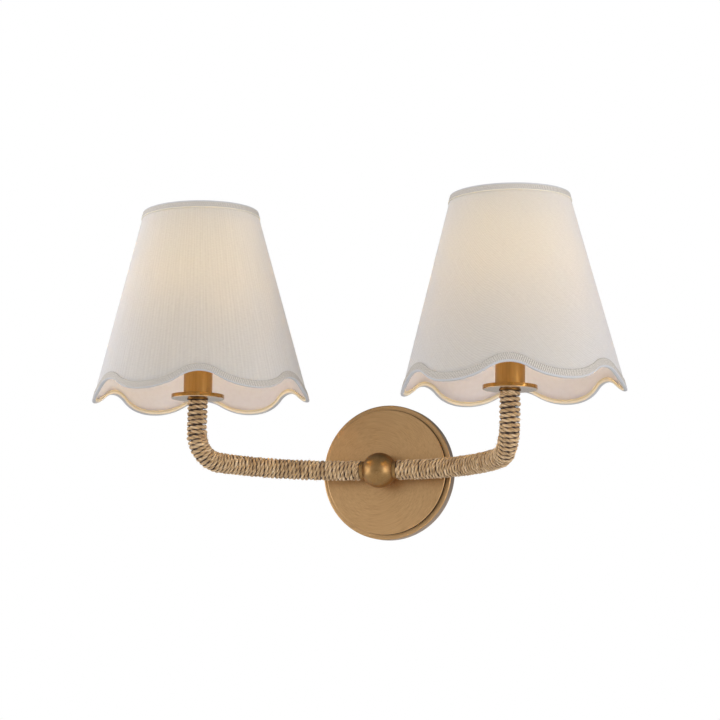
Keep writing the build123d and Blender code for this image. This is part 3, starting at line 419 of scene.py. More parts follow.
def linen_finish(name, lean, twill_share):
    """Woven shade cloth that lets lamplight through; lean is how far its thread lines slant."""
    material, tree, surface = new_finish(name, roughness=0.85, sheen_weight=0.15, sheen_roughness=0.45)
    weft, warp = cloth_place(tree)
    across = calc(tree, "ADD", weft, calc(tree, "MULTIPLY", warp, math.tan(lean)))
    thread_lines = noise(tree, join_xyz(tree, calc(tree, "MULTIPLY", across, 900.0),
                                        calc(tree, "MULTIPLY", warp, 22.0), 0.0), 1.0, 2.0)
    wander = noise(tree, join_xyz(tree, calc(tree, "MULTIPLY", across, 90.0),
                                  calc(tree, "MULTIPLY", warp, 14.0), 5.0), 1.0, 2.0)
    cord_phase = calc(tree, "ADD", calc(tree, "MULTIPLY", across, 2 * math.pi / CORD_PITCH),
                      calc(tree, "MULTIPLY", wander, 9.0))
    cords = span(tree, calc(tree, "SINE", cord_phase), 0.36, 0.64, -1.0, 1.0)
    thread_lines = calc(tree, "MULTIPLY", calc(tree, "ADD", thread_lines, cords), 0.5)
    slubs = noise(tree, join_xyz(tree, calc(tree, "MULTIPLY", weft, 240.0),
                                 calc(tree, "MULTIPLY", warp, 1300.0), 3.0), 1.0, 2.0)
    twill = calc(tree, "SINE", calc(tree, "MULTIPLY", across, 2 * math.pi / TWILL_PITCH))
    over = calc(tree, "SINE", calc(tree, "MULTIPLY", weft, 2 * math.pi / THREAD_PITCH))
    under = calc(tree, "SINE", calc(tree, "MULTIPLY", warp, 2 * math.pi / THREAD_PITCH))
    weave = calc(tree, "MULTIPLY", over, under)
    lines = calc(tree, "ADD", calc(tree, "MULTIPLY", thread_lines, 1.0 - twill_share),
                 calc(tree, "MULTIPLY", span(tree, twill, 0.3, 0.7, -1.0, 1.0), twill_share))
    tone = calc(tree, "ADD", calc(tree, "MULTIPLY", lines, 0.6), calc(tree, "MULTIPLY", slubs, 0.4))
    colour = shades(tree, tone, (0.32, (0.668, 0.653, 0.692)), (0.50, (0.736, 0.724, 0.772)),
                    (0.68, (0.800, 0.791, 0.848)))
    relief = calc(tree, "ADD", calc(tree, "MULTIPLY", weave, 0.15), tone)
    facing = bump(tree, relief, 0.00006, 0.5)
    tree.links.new(colour, surface.inputs["Base Color"])
    tree.links.new(facing, surface.inputs["Normal"])
    lit = blend_colour(tree, 1.0, colour, THROUGH_TINT, "MULTIPLY")
    glow = add(tree, "ShaderNodeBsdfTranslucent", {"Color": lit, "Normal": facing})
    aside = add(tree, "ShaderNodeLayerWeight", {"Blend": 0.5}).outputs["Facing"]
    share = span(tree, aside, LINEN_THROUGH, 0.5 * LINEN_THROUGH, 0.15, 0.95)
    through = mix_surfaces(tree, share, surface.outputs[0], glow.outputs[0])
    tree.links.new(through, tree.nodes["Material Output"].inputs["Surface"])
    return material


def lining_finish():
    """Smooth pale backing inside the shade, faintly mottled, that lets lamplight through."""
    material, tree, surface = new_finish("shade_lining", roughness=0.55)
    weft, warp = cloth_place(tree)
    mottle = noise(tree, join_xyz(tree, weft, warp, 0.0), 260.0, 3.0)
    colour = shades(tree, mottle, (0.3, (0.895, 0.850, 0.905)), (0.7, (0.930, 0.890, 0.950)))
    facing = bump(tree, mottle, 0.00004, 0.3)
    tree.links.new(colour, surface.inputs["Base Color"])
    tree.links.new(facing, surface.inputs["Normal"])
    glow = add(tree, "ShaderNodeBsdfTranslucent", {"Color": colour, "Normal": facing})
    through = mix_surfaces(tree, LINING_THROUGH, surface.outputs[0], glow.outputs[0])
    tree.links.new(through, tree.nodes["Material Output"].inputs["Surface"])
    return material


def ribbon_finish(name, add_painted_outer_light, depth):
    """Grosgrain ribbon folded over an edge: ribbed outside, with painted shade in grey at the fold and
    painted lamplight in cream inside.

    The cloth map's second number runs across the ribbon, from 0 at its outer edge to 1 at its inner one.
    Depth is how far the ribbed side is darkened. Part of this is the ribbon's own tone and part is painted
    shade, since the one ribbon is darkened more on the hem than on the top binding.
    """
    material, tree, surface = new_finish(name, roughness=0.8, sheen_weight=0.15, sheen_roughness=0.5)
    weft, warp = cloth_place(tree)
    leaning = calc(tree, "ADD", weft, calc(tree, "MULTIPLY", warp, RIB_LEAN))
    ribs = calc(tree, "SINE", calc(tree, "MULTIPLY", leaning, 2 * math.pi / RIB_PITCH))
    threads = noise(tree, join_xyz(tree, calc(tree, "MULTIPLY", weft, 1500.0),
                                   calc(tree, "MULTIPLY", warp, 14.0), 0.0), 1.0, 3.0)
    tone = calc(tree, "ADD", calc(tree, "MULTIPLY", span(tree, ribs, 0.0, 1.0, -1.0, 1.0), 0.22),
                calc(tree, "MULTIPLY", threads, 0.78))
    ribbed = shades(tree, tone, (0.36, (0.340, 0.305, 0.266)), (0.50, (0.525, 0.477, 0.425)),
                    (0.64, (0.715, 0.660, 0.600)))
    # darkened by depth: partly the ribbon's own tone, partly painted shade
    ribbed = blend_colour(tree, depth, ribbed, RIBBON_TONE_AND_SHADE, "MULTIPLY")
    # painted shade: grey for the fold's shaded underside
    fold = shades(tree, threads, (0.3, (0.500, 0.495, 0.515)), (0.7, (0.570, 0.565, 0.585)))
    # painted light: cream for the lamplit inside of the ribbon
    painted_lamplight = shades(tree, threads, (0.3, (0.880, 0.770, 0.600)), (0.7, (0.930, 0.830, 0.670)))
    colour = blend_colour(tree, span(tree, warp, 0.0, 1.0, 0.42, 0.50), ribbed, fold)
    colour = blend_colour(tree, span(tree, warp, 0.0, 1.0, 0.78, 0.84), colour, painted_lamplight)
    # painted shade: a darker gold line at the ribbon's inner edge
    painted_edge_shade = span(tree, warp, 0.0, 1.0, 0.92, 0.96)
    colour = blend_colour(tree, painted_edge_shade, colour, (0.690, 0.580, 0.400))
    # painted light: a pale cream line along the outer edge, for lamplight leaking there
    if add_painted_outer_light:
        painted_outer_light_mask = calc(tree, "LESS_THAN", warp, 0.06)
        colour = blend_colour(tree, painted_outer_light_mask, colour, (0.880, 0.820, 0.680))
    tree.links.new(colour, surface.inputs["Base Color"])
    tree.links.new(bump(tree, threads, 0.00010, 0.5), surface.inputs["Normal"])
    return material


# Meshes


def mesh_piece(name, points, faces):
    mesh = bpy.data.meshes.new(name)
    mesh.from_pydata(points, [], faces)
    mesh.update()
    piece = bpy.data.objects.new(name, mesh)
    bpy.context.scene.collection.objects.link(piece)
    return piece


def ring_grid(rows, columns):
    """Faces of a closed band: rows of points round an axis, the last row joined to the first."""
    faces = []
    for row in range(rows):
        upper = row * columns
        lower = (row + 1) % rows * columns
        for column in range(columns):
            after = (column + 1) % columns
            faces.append((upper + column, lower + column, lower + after, upper + after))
    return faces


def cloth_uv(piece, rows, columns, place):
    """UV map in which face corner (row, column) reads place(row, column), unbroken round the seam."""
    layer = piece.data.uv_layers.new(name="cloth")
    for polygon in piece.data.polygons:
        row, column = divmod(polygon.index, columns)
        corners = ((row, column), (row + 1, column), (row + 1, column + 1), (row, column + 1))
        for loop, corner in zip(polygon.loop_indices, corners):
            layer.data[loop].uv = place(*corner)


def smooth(piece):
    piece.data.polygons.foreach_set("use_smooth", [True] * len(piece.data.polygons))


def taken_from(piece, name):
    """A plain mesh piece of what an object's modifiers make; the object itself is removed."""
    ready = piece.evaluated_get(bpy.context.evaluated_depsgraph_get())
    mesh = bpy.data.meshes.new_from_object(ready)
    bpy.data.objects.remove(piece)
    mesh.name = name
    made = bpy.data.objects.new(name, mesh)
    bpy.context.scene.collection.objects.link(made)
    return made


def outward_at(angle):
    """Unit direction that an angle round a lamp faces; angle 0 faces the front."""
    return Vector((math.sin(angle), -math.cos(angle), 0))


def shade_radius(z):
    return SHADE_TOP_RADIUS + (SHADE_TOP_Z - z) * SHADE_SLOPE


def wave_height(across):
    """Height of the hem's wave above its lowest points, at a distance across from an arch's middle."""
    across = min(abs(across), WAVE_HALF)
    if across < ARCH_REACH:
        bend = ARCH_REACH / math.sin(WAVE_BEND)
        return SCALLOP_DEPTH - bend + math.sqrt(bend**2 - across**2)
    bend = (WAVE_HALF - ARCH_REACH) / math.sin(WAVE_BEND)
    return bend - math.sqrt(bend**2 - (WAVE_HALF - across) ** 2)


def hem_z(angle, turn):
    """Height of the shade's lower edge at an angle round it."""
    step = 2 * math.pi / SCALLOPS
    from_arch = (angle - turn + step / 2) % step - step / 2
    z = SHADE_BOTTOM_Z
    for _ in range(3):
        z = SHADE_BOTTOM_Z + wave_height(shade_radius(z) * math.sin(from_arch))
    return z


# Shade cloth, hem and top binding

SHADE_COLUMNS = 360
SHADE_ROWS = 48
BACK_SEAM_WIDTH = 0.008
BACK_SEAM_RISE = 0.0003
OUTER_STEPS = 5
FOLD_STEPS = 10
INNER_STEPS = 4
RIB_COLUMNS = 6
HEM_FOLD_DEPTH = 0.0012
TOP_FOLD_DEPTH = 0.0008
HEM_PADDING = 0.0014


def shade_cloth(side, sign, linen, lining):
    """One conical cloth with a scalloped lower edge, lined inside, overlapped at a seam on the wall side."""
    place = tilted_place(side, sign)
    turn = SHADE_TURN[side]
    seam_angle = math.pi
    top = SHADE_TOP_Z - TRIM_THICK
    points = []
    rows = 2 * (SHADE_ROWS + 1)
    slants = []
    for row in range(rows):
        outside = row <= SHADE_ROWS
        down = row / SHADE_ROWS if outside else (rows - 1 - row) / SHADE_ROWS
        for column in range(SHADE_COLUMNS):
            angle = 2 * math.pi * column / SHADE_COLUMNS
            z = top + (hem_z(angle, turn) + TRIM_THICK - top) * down
            radius = shade_radius(z) - (0 if outside else SHADE_WALL)
            past_seam = (angle - seam_angle) * SHADE_BOTTOM_RADIUS
            if outside and 0 <= past_seam <= BACK_SEAM_WIDTH:
                radius += BACK_SEAM_RISE
            points.append(place(outward_at(angle) * radius + Vector((0, 0, z))))
        slants.append(down * (SHADE_TOP_Z - SHADE_BOTTOM_Z) * math.sqrt(1 + SHADE_SLOPE**2))
    piece = mesh_piece(f"{side}_shade_cloth", points, ring_grid(rows, SHADE_COLUMNS))
    around = 2 * math.pi * (SHADE_TOP_RADIUS + SHADE_BOTTOM_RADIUS) / 2
    cloth_uv(piece, rows, SHADE_COLUMNS,
             lambda row, column: (around * column / SHADE_COLUMNS, slants[row % rows]))
    piece.data.materials.append(linen)
    piece.data.materials.append(lining)
    for polygon in piece.data.polygons:
        row = polygon.index // SHADE_COLUMNS
        polygon.material_index = 1 if SHADE_ROWS < row < rows - 1 else 0
    smooth(piece)
    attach(piece, f"{side}_shade")
    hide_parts(f"{side}_shade_panel")
    return piece


def u_section(outer_height, inner_height, wall, thick, padded, depth):
    """Folded ribbon's section as (outward, upward) offsets from the cloth's lower outer corner.

    The ribbon is thick outside and padded inside, and its fold stands off the edge by a depth.
    """
    fold = (wall + thick + padded) / 2
    middle = thick - fold
    outer = [(thick, outer_height * (1 - i / OUTER_STEPS)) for i in range(OUTER_STEPS)]
    bend = [
        (middle + fold * math.cos(math.pi * i / FOLD_STEPS), -depth * math.sin(math.pi * i / FOLD_STEPS))
        for i in range(FOLD_STEPS + 1)
    ]
    inner = [(-wall - padded, inner_height * (i + 1) / INNER_STEPS) for i in range(INNER_STEPS)]
    back_in = [(-wall, inner_height * (1 - i / INNER_STEPS)) for i in range(INNER_STEPS + 1)]
    back_out = [(0, outer_height * i / OUTER_STEPS) for i in range(OUTER_STEPS + 1)]
    return outer + bend + inner + back_in + back_out


def ribbon(name, section, around, spot):
    """A ribbon folded to a section and taken round the shade; spot(angle, out, up) places a point."""
    ribs = round(around / RIB_PITCH)
    columns = ribs * RIB_COLUMNS
    points = []
    lengths = [0.0]
    for first, second in zip(section, section[1:]):
        lengths.append(lengths[-1] + math.dist(first, second))
    shown = lengths[-1] / 2
    for out, up in section:
        for column in range(columns):
            points.append(spot(2 * math.pi * column / columns, out, up))
    piece = mesh_piece(name, points, ring_grid(len(section), columns))
    width = [min(length, 2 * shown - length) / shown for length in lengths]
    width.append(0.0)
    cloth_uv(piece, len(section), columns,
             lambda row, column: (around * column / columns, width[row]))
    smooth(piece)
    return piece


def rib_tree():
    """Raises a mesh in ribs that run across its cloth map."""
    tree = bpy.data.node_groups.new("ribbon_ribs", "GeometryNodeTree")
    face = tree.interface
    face.new_socket("Geometry", in_out="INPUT", socket_type="NodeSocketGeometry")
    face.new_socket("Rib Pitch", in_out="INPUT", socket_type="NodeSocketFloat")
    face.new_socket("Rib Height", in_out="INPUT", socket_type="NodeSocketFloat")
    face.new_socket("Material", in_out="INPUT", socket_type="NodeSocketMaterial")
    face.new_socket("Geometry", in_out="OUTPUT", socket_type="NodeSocketGeometry")
    given = add(tree, "NodeGroupInput").outputs
    weft, warp = add(tree, "ShaderNodeSeparateXYZ", {0: named(tree, "cloth")}).outputs[:2]
    turns = calc(tree, "DIVIDE", weft, given["Rib Pitch"])
    swell = calc(tree, "ABSOLUTE", calc(tree, "SINE", calc(tree, "MULTIPLY", turns, math.pi)))
    lift = calc(tree, "MULTIPLY", calc(tree, "SUBTRACT", swell, 0.5), given["Rib Height"])
    lift = calc(tree, "MULTIPLY", lift, span(tree, warp, 1.0, 0.0, 0.42, 0.55))
    facing = add(tree, "GeometryNodeInputNormal").outputs[0]
    raised = add(tree, "GeometryNodeSetPosition",
                 {"Geometry": given["Geometry"], "Offset": scaled(tree, facing, lift)})
    real = add(tree, "GeometryNodeRealizeInstances", {0: raised.outputs[0]})
    dressed = add(tree, "GeometryNodeSetMaterial", {0: real.outputs[0], "Material": given["Material"]})
    add(tree, "NodeGroupOutput", {0: dressed.outputs[0]})
    return tree


def run_tree(piece, tree, values, name):
    """The plain mesh that a node tree makes of a piece, with the tree's named inputs set."""
    modifier = piece.modifiers.new(tree.name, "NODES")
    modifier.node_group = tree
    for item in tree.interface.items_tree:
        if item.in_out == "INPUT" and item.name in values:
            modifier[item.identifier] = values[item.name]
    return taken_from(piece, name)


def shade_hem(side, sign, tree, ribbon_cloth):
    """Ribbon folded over the scalloped lower edge of a shade."""
    place = tilted_place(side, sign)
    turn = SHADE_TURN[side]

    def spot(angle, out, up):
        z = hem_z(angle, turn) + TRIM_THICK + up
        return place(outward_at(angle) * (shade_radius(z) + out) + Vector((0, 0, z)))

    section = u_section(HEM_HEIGHT[side] - TRIM_THICK, HEM_INSIDE, SHADE_WALL, TRIM_THICK, HEM_PADDING,
                        HEM_FOLD_DEPTH)
    around = 2 * math.pi * SHADE_BOTTOM_RADIUS
    plain = ribbon(f"{side}_hem_plain", section, around, spot)
    values = {"Rib Pitch": RIB_PITCH, "Rib Height": RIB_HEIGHT, "Material": ribbon_cloth}
    piece = run_tree(plain, tree, values, f"{side}_shade_hem")
    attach(piece, f"{side}_shade")
    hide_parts(f"{side}_shade_bottom_trim")
    return piece


def shade_top_binding(side, sign, tree, ribbon_cloth):
    """Ribbon folded over the top edge of a shade."""
    place = tilted_place(side, sign)

    def spot(angle, out, up):
        z = SHADE_TOP_Z - TRIM_THICK - up
        return place(outward_at(-angle) * (shade_radius(z) + out) + Vector((0, 0, z)))

    section = u_section(TOP_TRIM_HEIGHT - TRIM_THICK, TOP_TRIM_INSIDE, SHADE_WALL, TRIM_THICK, TRIM_THICK,
                        TOP_FOLD_DEPTH)
    around = 2 * math.pi * SHADE_TOP_RADIUS
    plain = ribbon(f"{side}_top_plain", section, around, spot)
    values = {"Rib Pitch": RIB_PITCH, "Rib Height": RIB_HEIGHT, "Material": ribbon_cloth}
    piece = run_tree(plain, tree, values, f"{side}_shade_top_binding")
    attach(piece, f"{side}_shade")
    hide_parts(f"{side}_shade_top_trim")
    return piece


# Rope wound on the arms


def arm_station(sign, distance):
    """Centre and the two cross axes of an arm at a distance along its tube from the hub."""
    past_straight = distance - ARM_STRAIGHT
    past_sweep = distance - ELBOW_DISTANCE
    past_elbow = distance - STEM_DISTANCE
    turn = min(max(past_straight / SWEEP_RADIUS, 0), SWEEP_ANGLE)
    sideways = Vector((sign, 0, 0))
    up = Vector((0, 0, 1))
    direction = sideways * math.cos(turn) + SWEEP_WAY * math.sin(turn)
    outward = Vector((direction.x, direction.y, 0)).normalized()
    centre = Vector((0, -HUB_FORWARD, 0))
    centre += sideways * (ARM_STRAIGHT + min(past_straight, 0) + SWEEP_RADIUS * math.sin(turn))
    centre += SWEEP_WAY * (SWEEP_RADIUS * (1 - math.cos(turn)))
    if past_sweep > 0:
        lift = min(ELBOW_START + past_sweep / ELBOW_RADIUS, math.pi / 2)
        centre += outward * (ELBOW_RADIUS * (math.sin(lift) - math.sin(ELBOW_START)))
        centre += up * (ELBOW_RADIUS * (math.cos(ELBOW_START) - math.cos(lift)) + max(past_elbow, 0))
        direction = outward * math.cos(lift) + up * math.sin(lift)
    across = up.cross(outward)
    return centre, across, direction.cross(across)


def distance_of(turns):
    """Distance along the arm, from the hub, that a number of turns reaches."""
    distance = 0.0
    for stretch, pitch in ((ELBOW_DISTANCE, RUN_PITCH), (ELBOW_LENGTH, ELBOW_PITCH)):
        if turns * pitch < stretch:
            return distance + turns * pitch
        distance += stretch
        turns -= stretch / pitch
    return distance + turns * RISER_PITCH


def turns_to(distance):
    """Turns of rope from the hub up to a distance along the arm."""
    turns = 0.0
    for stretch, pitch in ((ELBOW_DISTANCE, RUN_PITCH), (ELBOW_LENGTH, ELBOW_PITCH)):
        if distance < stretch:
            return turns + distance / pitch
        turns += stretch / pitch
        distance -= stretch
    return turns + distance / RISER_PITCH


def waves(turn, parts, starts):
    """Unevenness of the winding at a turn: waves of a size and a rate, each from its own start."""
    return sum(size * math.sin(rate * turn + start) for (size, rate), start in zip(parts, starts))


def rope_line(name, sign, first_turn, last_turn, ends):
    """Centreline of one length of rope, wound by hand and so not quite even, with its way out of the arm.

    The winding keeps between two ends along the arm, where its last turns close up flat.
    """
    count = round((last_turn - first_turn) * ROPE_POINTS_PER_TURN) + 1
    points = []
    ways = []
    for index in range(count):
        turn = first_turn + (last_turn - first_turn) * index / (count - 1)
        sway = waves(turn, ROPE_SWAY, (sign, 2, 0))
        distance = min(max(distance_of(turn + sway), ends[0]), ends[1])
        centre, across, over = arm_station(sign, distance)
        angle = WRAP_START_ANGLE + 2 * math.pi * turn
        way = across * math.cos(angle) + over * math.sin(angle)
        swell = 1 + waves(turn, ROPE_SWELL, (1, 0))
        points.append(centre + way * (ARM_TUBE_RADIUS + ROPE_RADIUS) * swell)
        ways.append(way)
    mesh = bpy.data.meshes.new(name)
    mesh.from_pydata(points, [(i, i + 1) for i in range(count - 1)], [])
    out = mesh.attributes.new("rope_out", "FLOAT_VECTOR", "POINT")
    out.data.foreach_set("vector", [part for way in ways for part in way])
    line = bpy.data.objects.new(name, mesh)
    bpy.context.scene.collection.objects.link(line)
    return line


def strand_tree():
    """Lays strands round a line, twisted together, with a few loose fibres standing off them."""
    tree = bpy.data.node_groups.new("laid_rope", "GeometryNodeTree")
    face = tree.interface
    face.new_socket("Geometry", in_out="INPUT", socket_type="NodeSocketGeometry")
    for name in ("Strand Radius", "Lay Radius", "Lay Length", "Step", "Fibre Density", "Fibre Length"):
        face.new_socket(name, in_out="INPUT", socket_type="NodeSocketFloat")
    for name in ("Strands", "Seed"):
        face.new_socket(name, in_out="INPUT", socket_type="NodeSocketInt")
    face.new_socket("Material", in_out="INPUT", socket_type="NodeSocketMaterial")
    face.new_socket("Geometry", in_out="OUTPUT", socket_type="NodeSocketGeometry")
    given = add(tree, "NodeGroupInput").outputs

    line = add(tree, "GeometryNodeMeshToCurve", {0: given["Geometry"]})
    line = add(tree, "GeometryNodeResampleCurve", {"Curve": line.outputs[0], "Length": given["Step"]},
               mode="LENGTH")
    copies = add(tree, "GeometryNodeDuplicateElements",
                 {"Geometry": line.outputs[0], "Amount": given["Strands"]}, domain="SPLINE")
    strand = copies.outputs[1]
    run = add(tree, "GeometryNodeSplineParameter").outputs["Length"]
    share = calc(tree, "ADD", calc(tree, "DIVIDE", run, given["Lay Length"]),
                 calc(tree, "DIVIDE", strand, given["Strands"]))
    angle = calc(tree, "MULTIPLY", share, 2 * math.pi)
    out = named(tree, "rope_out")
    tangent = add(tree, "GeometryNodeInputTangent").outputs[0]
    side = vector_calc(tree, "CROSS_PRODUCT", tangent, out)
    lay = vector_calc(tree, "ADD", scaled(tree, out, calc(tree, "COSINE", angle)),
                      scaled(tree, side, calc(tree, "SINE", angle)))
    spot = add(tree, "GeometryNodeInputPosition").outputs[0]
    shift = vector_calc(tree, "ADD", spot, join_xyz(tree, calc(tree, "MULTIPLY", strand, 0.31), 0.0, 0.0))
    slack = noise(tree, shift, 230.0, 1.0)
    reach = calc(tree, "MULTIPLY", given["Lay Radius"], span(tree, slack, 0.86, 1.14))
    kept = stored(tree, copies.outputs[0], "rope_strand", strand)
    kept = stored(tree, kept, "rope_along", run)
    kept = stored(tree, kept, "rope_middle", spot, "FLOAT_VECTOR")
    thick = add(tree, "GeometryNodeSetCurveRadius",
                {"Curve": kept, "Radius": span(tree, noise(tree, shift, 330.0, 2.0), 0.82, 1.18)})
    laid = add(tree, "GeometryNodeSetPosition",
               {"Geometry": thick.outputs[0], "Offset": scaled(tree, lay, reach)})
    ring = add(tree, "GeometryNodeCurvePrimitiveCircle", {"Resolution": 8, "Radius": given["Strand Radius"]})
    round_share = add(tree, "GeometryNodeSplineParameter").outputs["Factor"]
    ring = stored(tree, ring.outputs[0], "rope_around", round_share)
    tube = add(tree, "GeometryNodeCurveToMesh",
               {"Curve": laid.outputs[0], "Profile Curve": ring, "Fill Caps": True})
    off_middle = vector_calc(tree, "SUBTRACT", spot, named(tree, "rope_middle"))
    rope_radius = calc(tree, "ADD", given["Lay Radius"], given["Strand Radius"])
    reach_out = calc(tree, "DIVIDE", vector_calc(tree, "DOT_PRODUCT", off_middle, out), rope_radius)
    groove = calc(tree, "DIVIDE", vector_calc(tree, "LENGTH", off_middle), rope_radius)
    tube = stored(tree, tube.outputs[0], "rope_reach", reach_out)
    tube = stored(tree, tube, "rope_groove", groove)
    tube = add(tree, "GeometryNodeSetShadeSmooth", {0: tube})

    roots = add(tree, "GeometryNodeDistributePointsOnFaces",
                {"Mesh": tube.outputs[0], "Density": given["Fibre Density"], "Seed": given["Seed"]})
    hair = add(tree, "GeometryNodeCurvePrimitiveBezierSegment",
               {"Resolution": 3, "Start": (0, 0, 0), "Start Handle": (0, 0, 0.4),
                "End Handle": (0.25, 0, 0.7), "End": (0.65, 0, 0.75)})
    hair_ring = add(tree, "GeometryNodeCurvePrimitiveCircle", {"Resolution": 3, "Radius": FIBRE_THICKNESS})
    hair = add(tree, "GeometryNodeCurveToMesh",
               {"Curve": hair.outputs[0], "Profile Curve": hair_ring.outputs[0], "Fill Caps": True})
    spin = add(tree, "FunctionNodeRandomValue", data_type="FLOAT_VECTOR",
               inputs={0: (0, 0, 0), 1: (0, 0, FIBRE_SPIN), "Seed": given["Seed"]})
    turned = add(tree, "FunctionNodeRotateRotation", rotation_space="LOCAL",
                 inputs={"Rotation": roots.outputs["Rotation"], "Rotate By": spin.outputs[0]})
    long = add(tree, "FunctionNodeRandomValue", {2: 0.35, 3: 1.0, "Seed": given["Seed"]}, data_type="FLOAT")
    hairs = add(tree, "GeometryNodeInstanceOnPoints", {
        "Points": roots.outputs["Points"], "Instance": hair.outputs[0], "Rotation": turned.outputs[0],
        "Scale": calc(tree, "MULTIPLY", long.outputs[1], given["Fibre Length"]),
    })
    both = add(tree, "GeometryNodeJoinGeometry")
    tree.links.new(tube.outputs[0], both.inputs[0])
    tree.links.new(hairs.outputs[0], both.inputs[0])
    real = add(tree, "GeometryNodeRealizeInstances", {0: both.outputs[0]})
    dressed = add(tree, "GeometryNodeSetMaterial", {0: real.outputs[0], "Material": given["Material"]})
    add(tree, "NodeGroupOutput", {0: dressed.outputs[0]})
    return tree


def arm_ropes(side, sign, tree, fibre):
    """Both lengths of rope on one arm, from the hub's collar up to the neck ring."""
    collar_end = max(abs(corner.x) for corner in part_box(f"{side}_arm_collar"))
    ring_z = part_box(f"{side}_neck_ring")[0].z
    rope_top = STEM_DISTANCE + ring_z - arm_station(sign, STEM_DISTANCE)[0].z
    ends = (collar_end + ROPE_END_ROOM, rope_top - ROPE_END_ROOM)
    first = turns_to(ends[0]) - CLOSING_TURN
    last = turns_to(ends[1]) + CLOSING_TURN
    split = turns_to(collar_end + FIRST_ROPE_LENGTH)
    lengths = (("arm_wrap_inner", first, split), ("arm_wrap_outer", split, last))
    for seed, (node, start, end) in enumerate(lengths, FIRST_SEED):
        line = rope_line(f"{side}_{node}_line", sign, start, end, ends)
        values = {
            "Strands": STRANDS, "Strand Radius": STRAND_RADIUS, "Lay Radius": LAY_RADIUS,
            "Lay Length": LAY_LENGTH, "Step": ROPE_STEP, "Fibre Density": FIBRE_DENSITY,
            "Fibre Length": FIBRE_LENGTH, "Seed": seed, "Material": fibre,
        }
        piece = run_tree(line, tree, values, f"{side}_{node}_rope")
        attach(piece, "fixture")
        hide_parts(f"{side}_{node}")


# Finishes of the carried-over pieces


def dress(node, material):
    mesh = NODES[node].data
    mesh.materials.clear()
    mesh.materials.append(material)


def dress_frame():
    """Gives each piece that is shown as built its finish."""
    origin = Vector((0, 0, 0))
    hub = Vector((0, -HUB_FORWARD, 0))
    base_rings = brass_finish("base_brass", origin, "Y", "rings", PLATE_TINT,
                              painted_side=(BASE_SIDE_RADIUS, BASE_FRONT_Y, CANOPY_SIDE_PAINTED_REFLECTION))
    disc_rings = brass_finish("disc_brass", origin, "Y", "rings", PLATE_TINT,
                              painted_side=(DISC_SIDE_RADIUS, DISC_FRONT_Y, DISC_SIDE_PAINTED_SHADE))
    hub_rings = brass_finish("hub_brass", hub, "X", "rings", HUB_TINT, (0.26, 0.42))
    zinc = plain_metal("zinc_plate", (0.62, 0.62, 0.60), 0.34, 160.0)
    nickel = plain_metal("nickel_plate", (0.70, 0.69, 0.66), 0.22, 220.0)
    bright = plain_metal("bright_brass", (0.74, 0.54, 0.25), 0.24, 220.0)
    # painted shade: the arm tube is near-black so the gaps between the rope's turns look shaded
    tube_painted_shade = plain_metal("arm_tube_painted_shade", (0.085, 0.055, 0.034), 0.50, 180.0)
    green = plain_metal("green_plate", (0.10, 0.33, 0.15), 0.35, 200.0)
    phenolic = moulded("black_phenolic", (0.030, 0.029, 0.028), 0.42, 600.0)
    jacket = moulded("lead_jacket", (0.74, 0.72, 0.67), 0.48, 500.0)
    enamel = moulded("white_enamel", (0.80, 0.79, 0.76), 0.36, 420.0)
    phosphor = moulded("phosphor", (0.92, 0.70, 0.30), 0.60, 700.0)
    glass = lit_bulb_finish()
    for node in ("canopy_base", "hub_neck", "rim_screws"):
        dress(node, base_rings)
    dress("canopy_face_disc", disc_rings)
    dress("hub_ball", hub_rings)
    for node in ("mounting_strap", "hub_nipple", "hub_washer", "hub_nut"):
        dress(node, zinc)
    dress("ground_screw", green)
    for side, sign in SIDES:
        axis = lamp_axis(sign)
        # the drip pan's underside takes a painted reflection colour below a height
        stem_rings = brass_finish(f"{side}_stem_brass", axis, "Z", "rings", STEM_TINT, (0.07, 0.17),
                                  painted_underside=(UNDER_PAN_TOP_Z, PAN_UNDERSIDE_PAINTED_REFLECTION))
        sleeve_lines = brass_finish(f"{side}_sleeve_brass", axis, "Z", "lines", STEM_TINT)
        ring_lines_painted_shade = brass_finish(f"{side}_ring_brass_painted_shade", axis, "Z", "lines", NECK_RING_PAINTED_SHADE)
        finishes = {
            "arm_collar": hub_rings, "arm_tube": tube_painted_shade, "neck_ring": ring_lines_painted_shade, "drip_pan": stem_rings,
            "candle_sleeve": sleeve_lines, "pan_nut": zinc, "socket_body": phenolic, "socket_shell": bright,
            "socket_contact": bright, "lamp_lead": jacket, "bulb_tip": phenolic, "bulb_base": nickel,
            "bulb_glass": glass, "bulb_filament": phosphor, "bulb_clip": bright, "shade_frame": enamel,
        }
        for node, material in finishes.items():
            dress(f"{side}_{node}", material)


# Shades and ropes

WEAVES = {"left": (0.0, 0.0), "right": (math.radians(-40), 0.5)}


def dress_soft_pieces():
    """Makes the cloth, ribbons and ropes that show in place of the built ones."""
    lining = lining_finish()
    hem_cloth = ribbon_finish("hem_ribbon", False, HEM_TONE_AND_SHADE_SHARE)
    binding_cloth = ribbon_finish("binding_ribbon", True, BINDING_TONE_AND_SHADE_SHARE)
    ribs = rib_tree()
    strands = strand_tree()
    fibre = rope_finish()
    for side, sign in SIDES:
        linen = linen_finish(f"{side}_shade_linen", *WEAVES[side])
        cloth = shade_cloth(side, sign, linen, lining)
        hem = shade_hem(side, sign, ribs, hem_cloth)
        top = shade_top_binding(side, sign, ribs, binding_cloth)
        arm_ropes(side, sign, strands, fibre)


# Camera, light and ground

CAMERA_PLACE = Vector((0.77265, -2.23675, -0.21996))
CAMERA_YAW = math.radians(19.80)
CAMERA_PITCH = math.radians(7.888)
CAMERA_ROLL = math.radians(0.856)
FOCAL_PIXELS = 2509.8
PICTURE_PIXELS = 720
SIDE_AIM = (0, -0.08, 0.10)
SIDE_SIZE = (0.9, 1.3)
TOP_AIM = (0, -0.08, 0.05)
TOP_SIZE = (1.2, 0.8)
DAYLIGHT = (0.95, 0.97, 1.0)


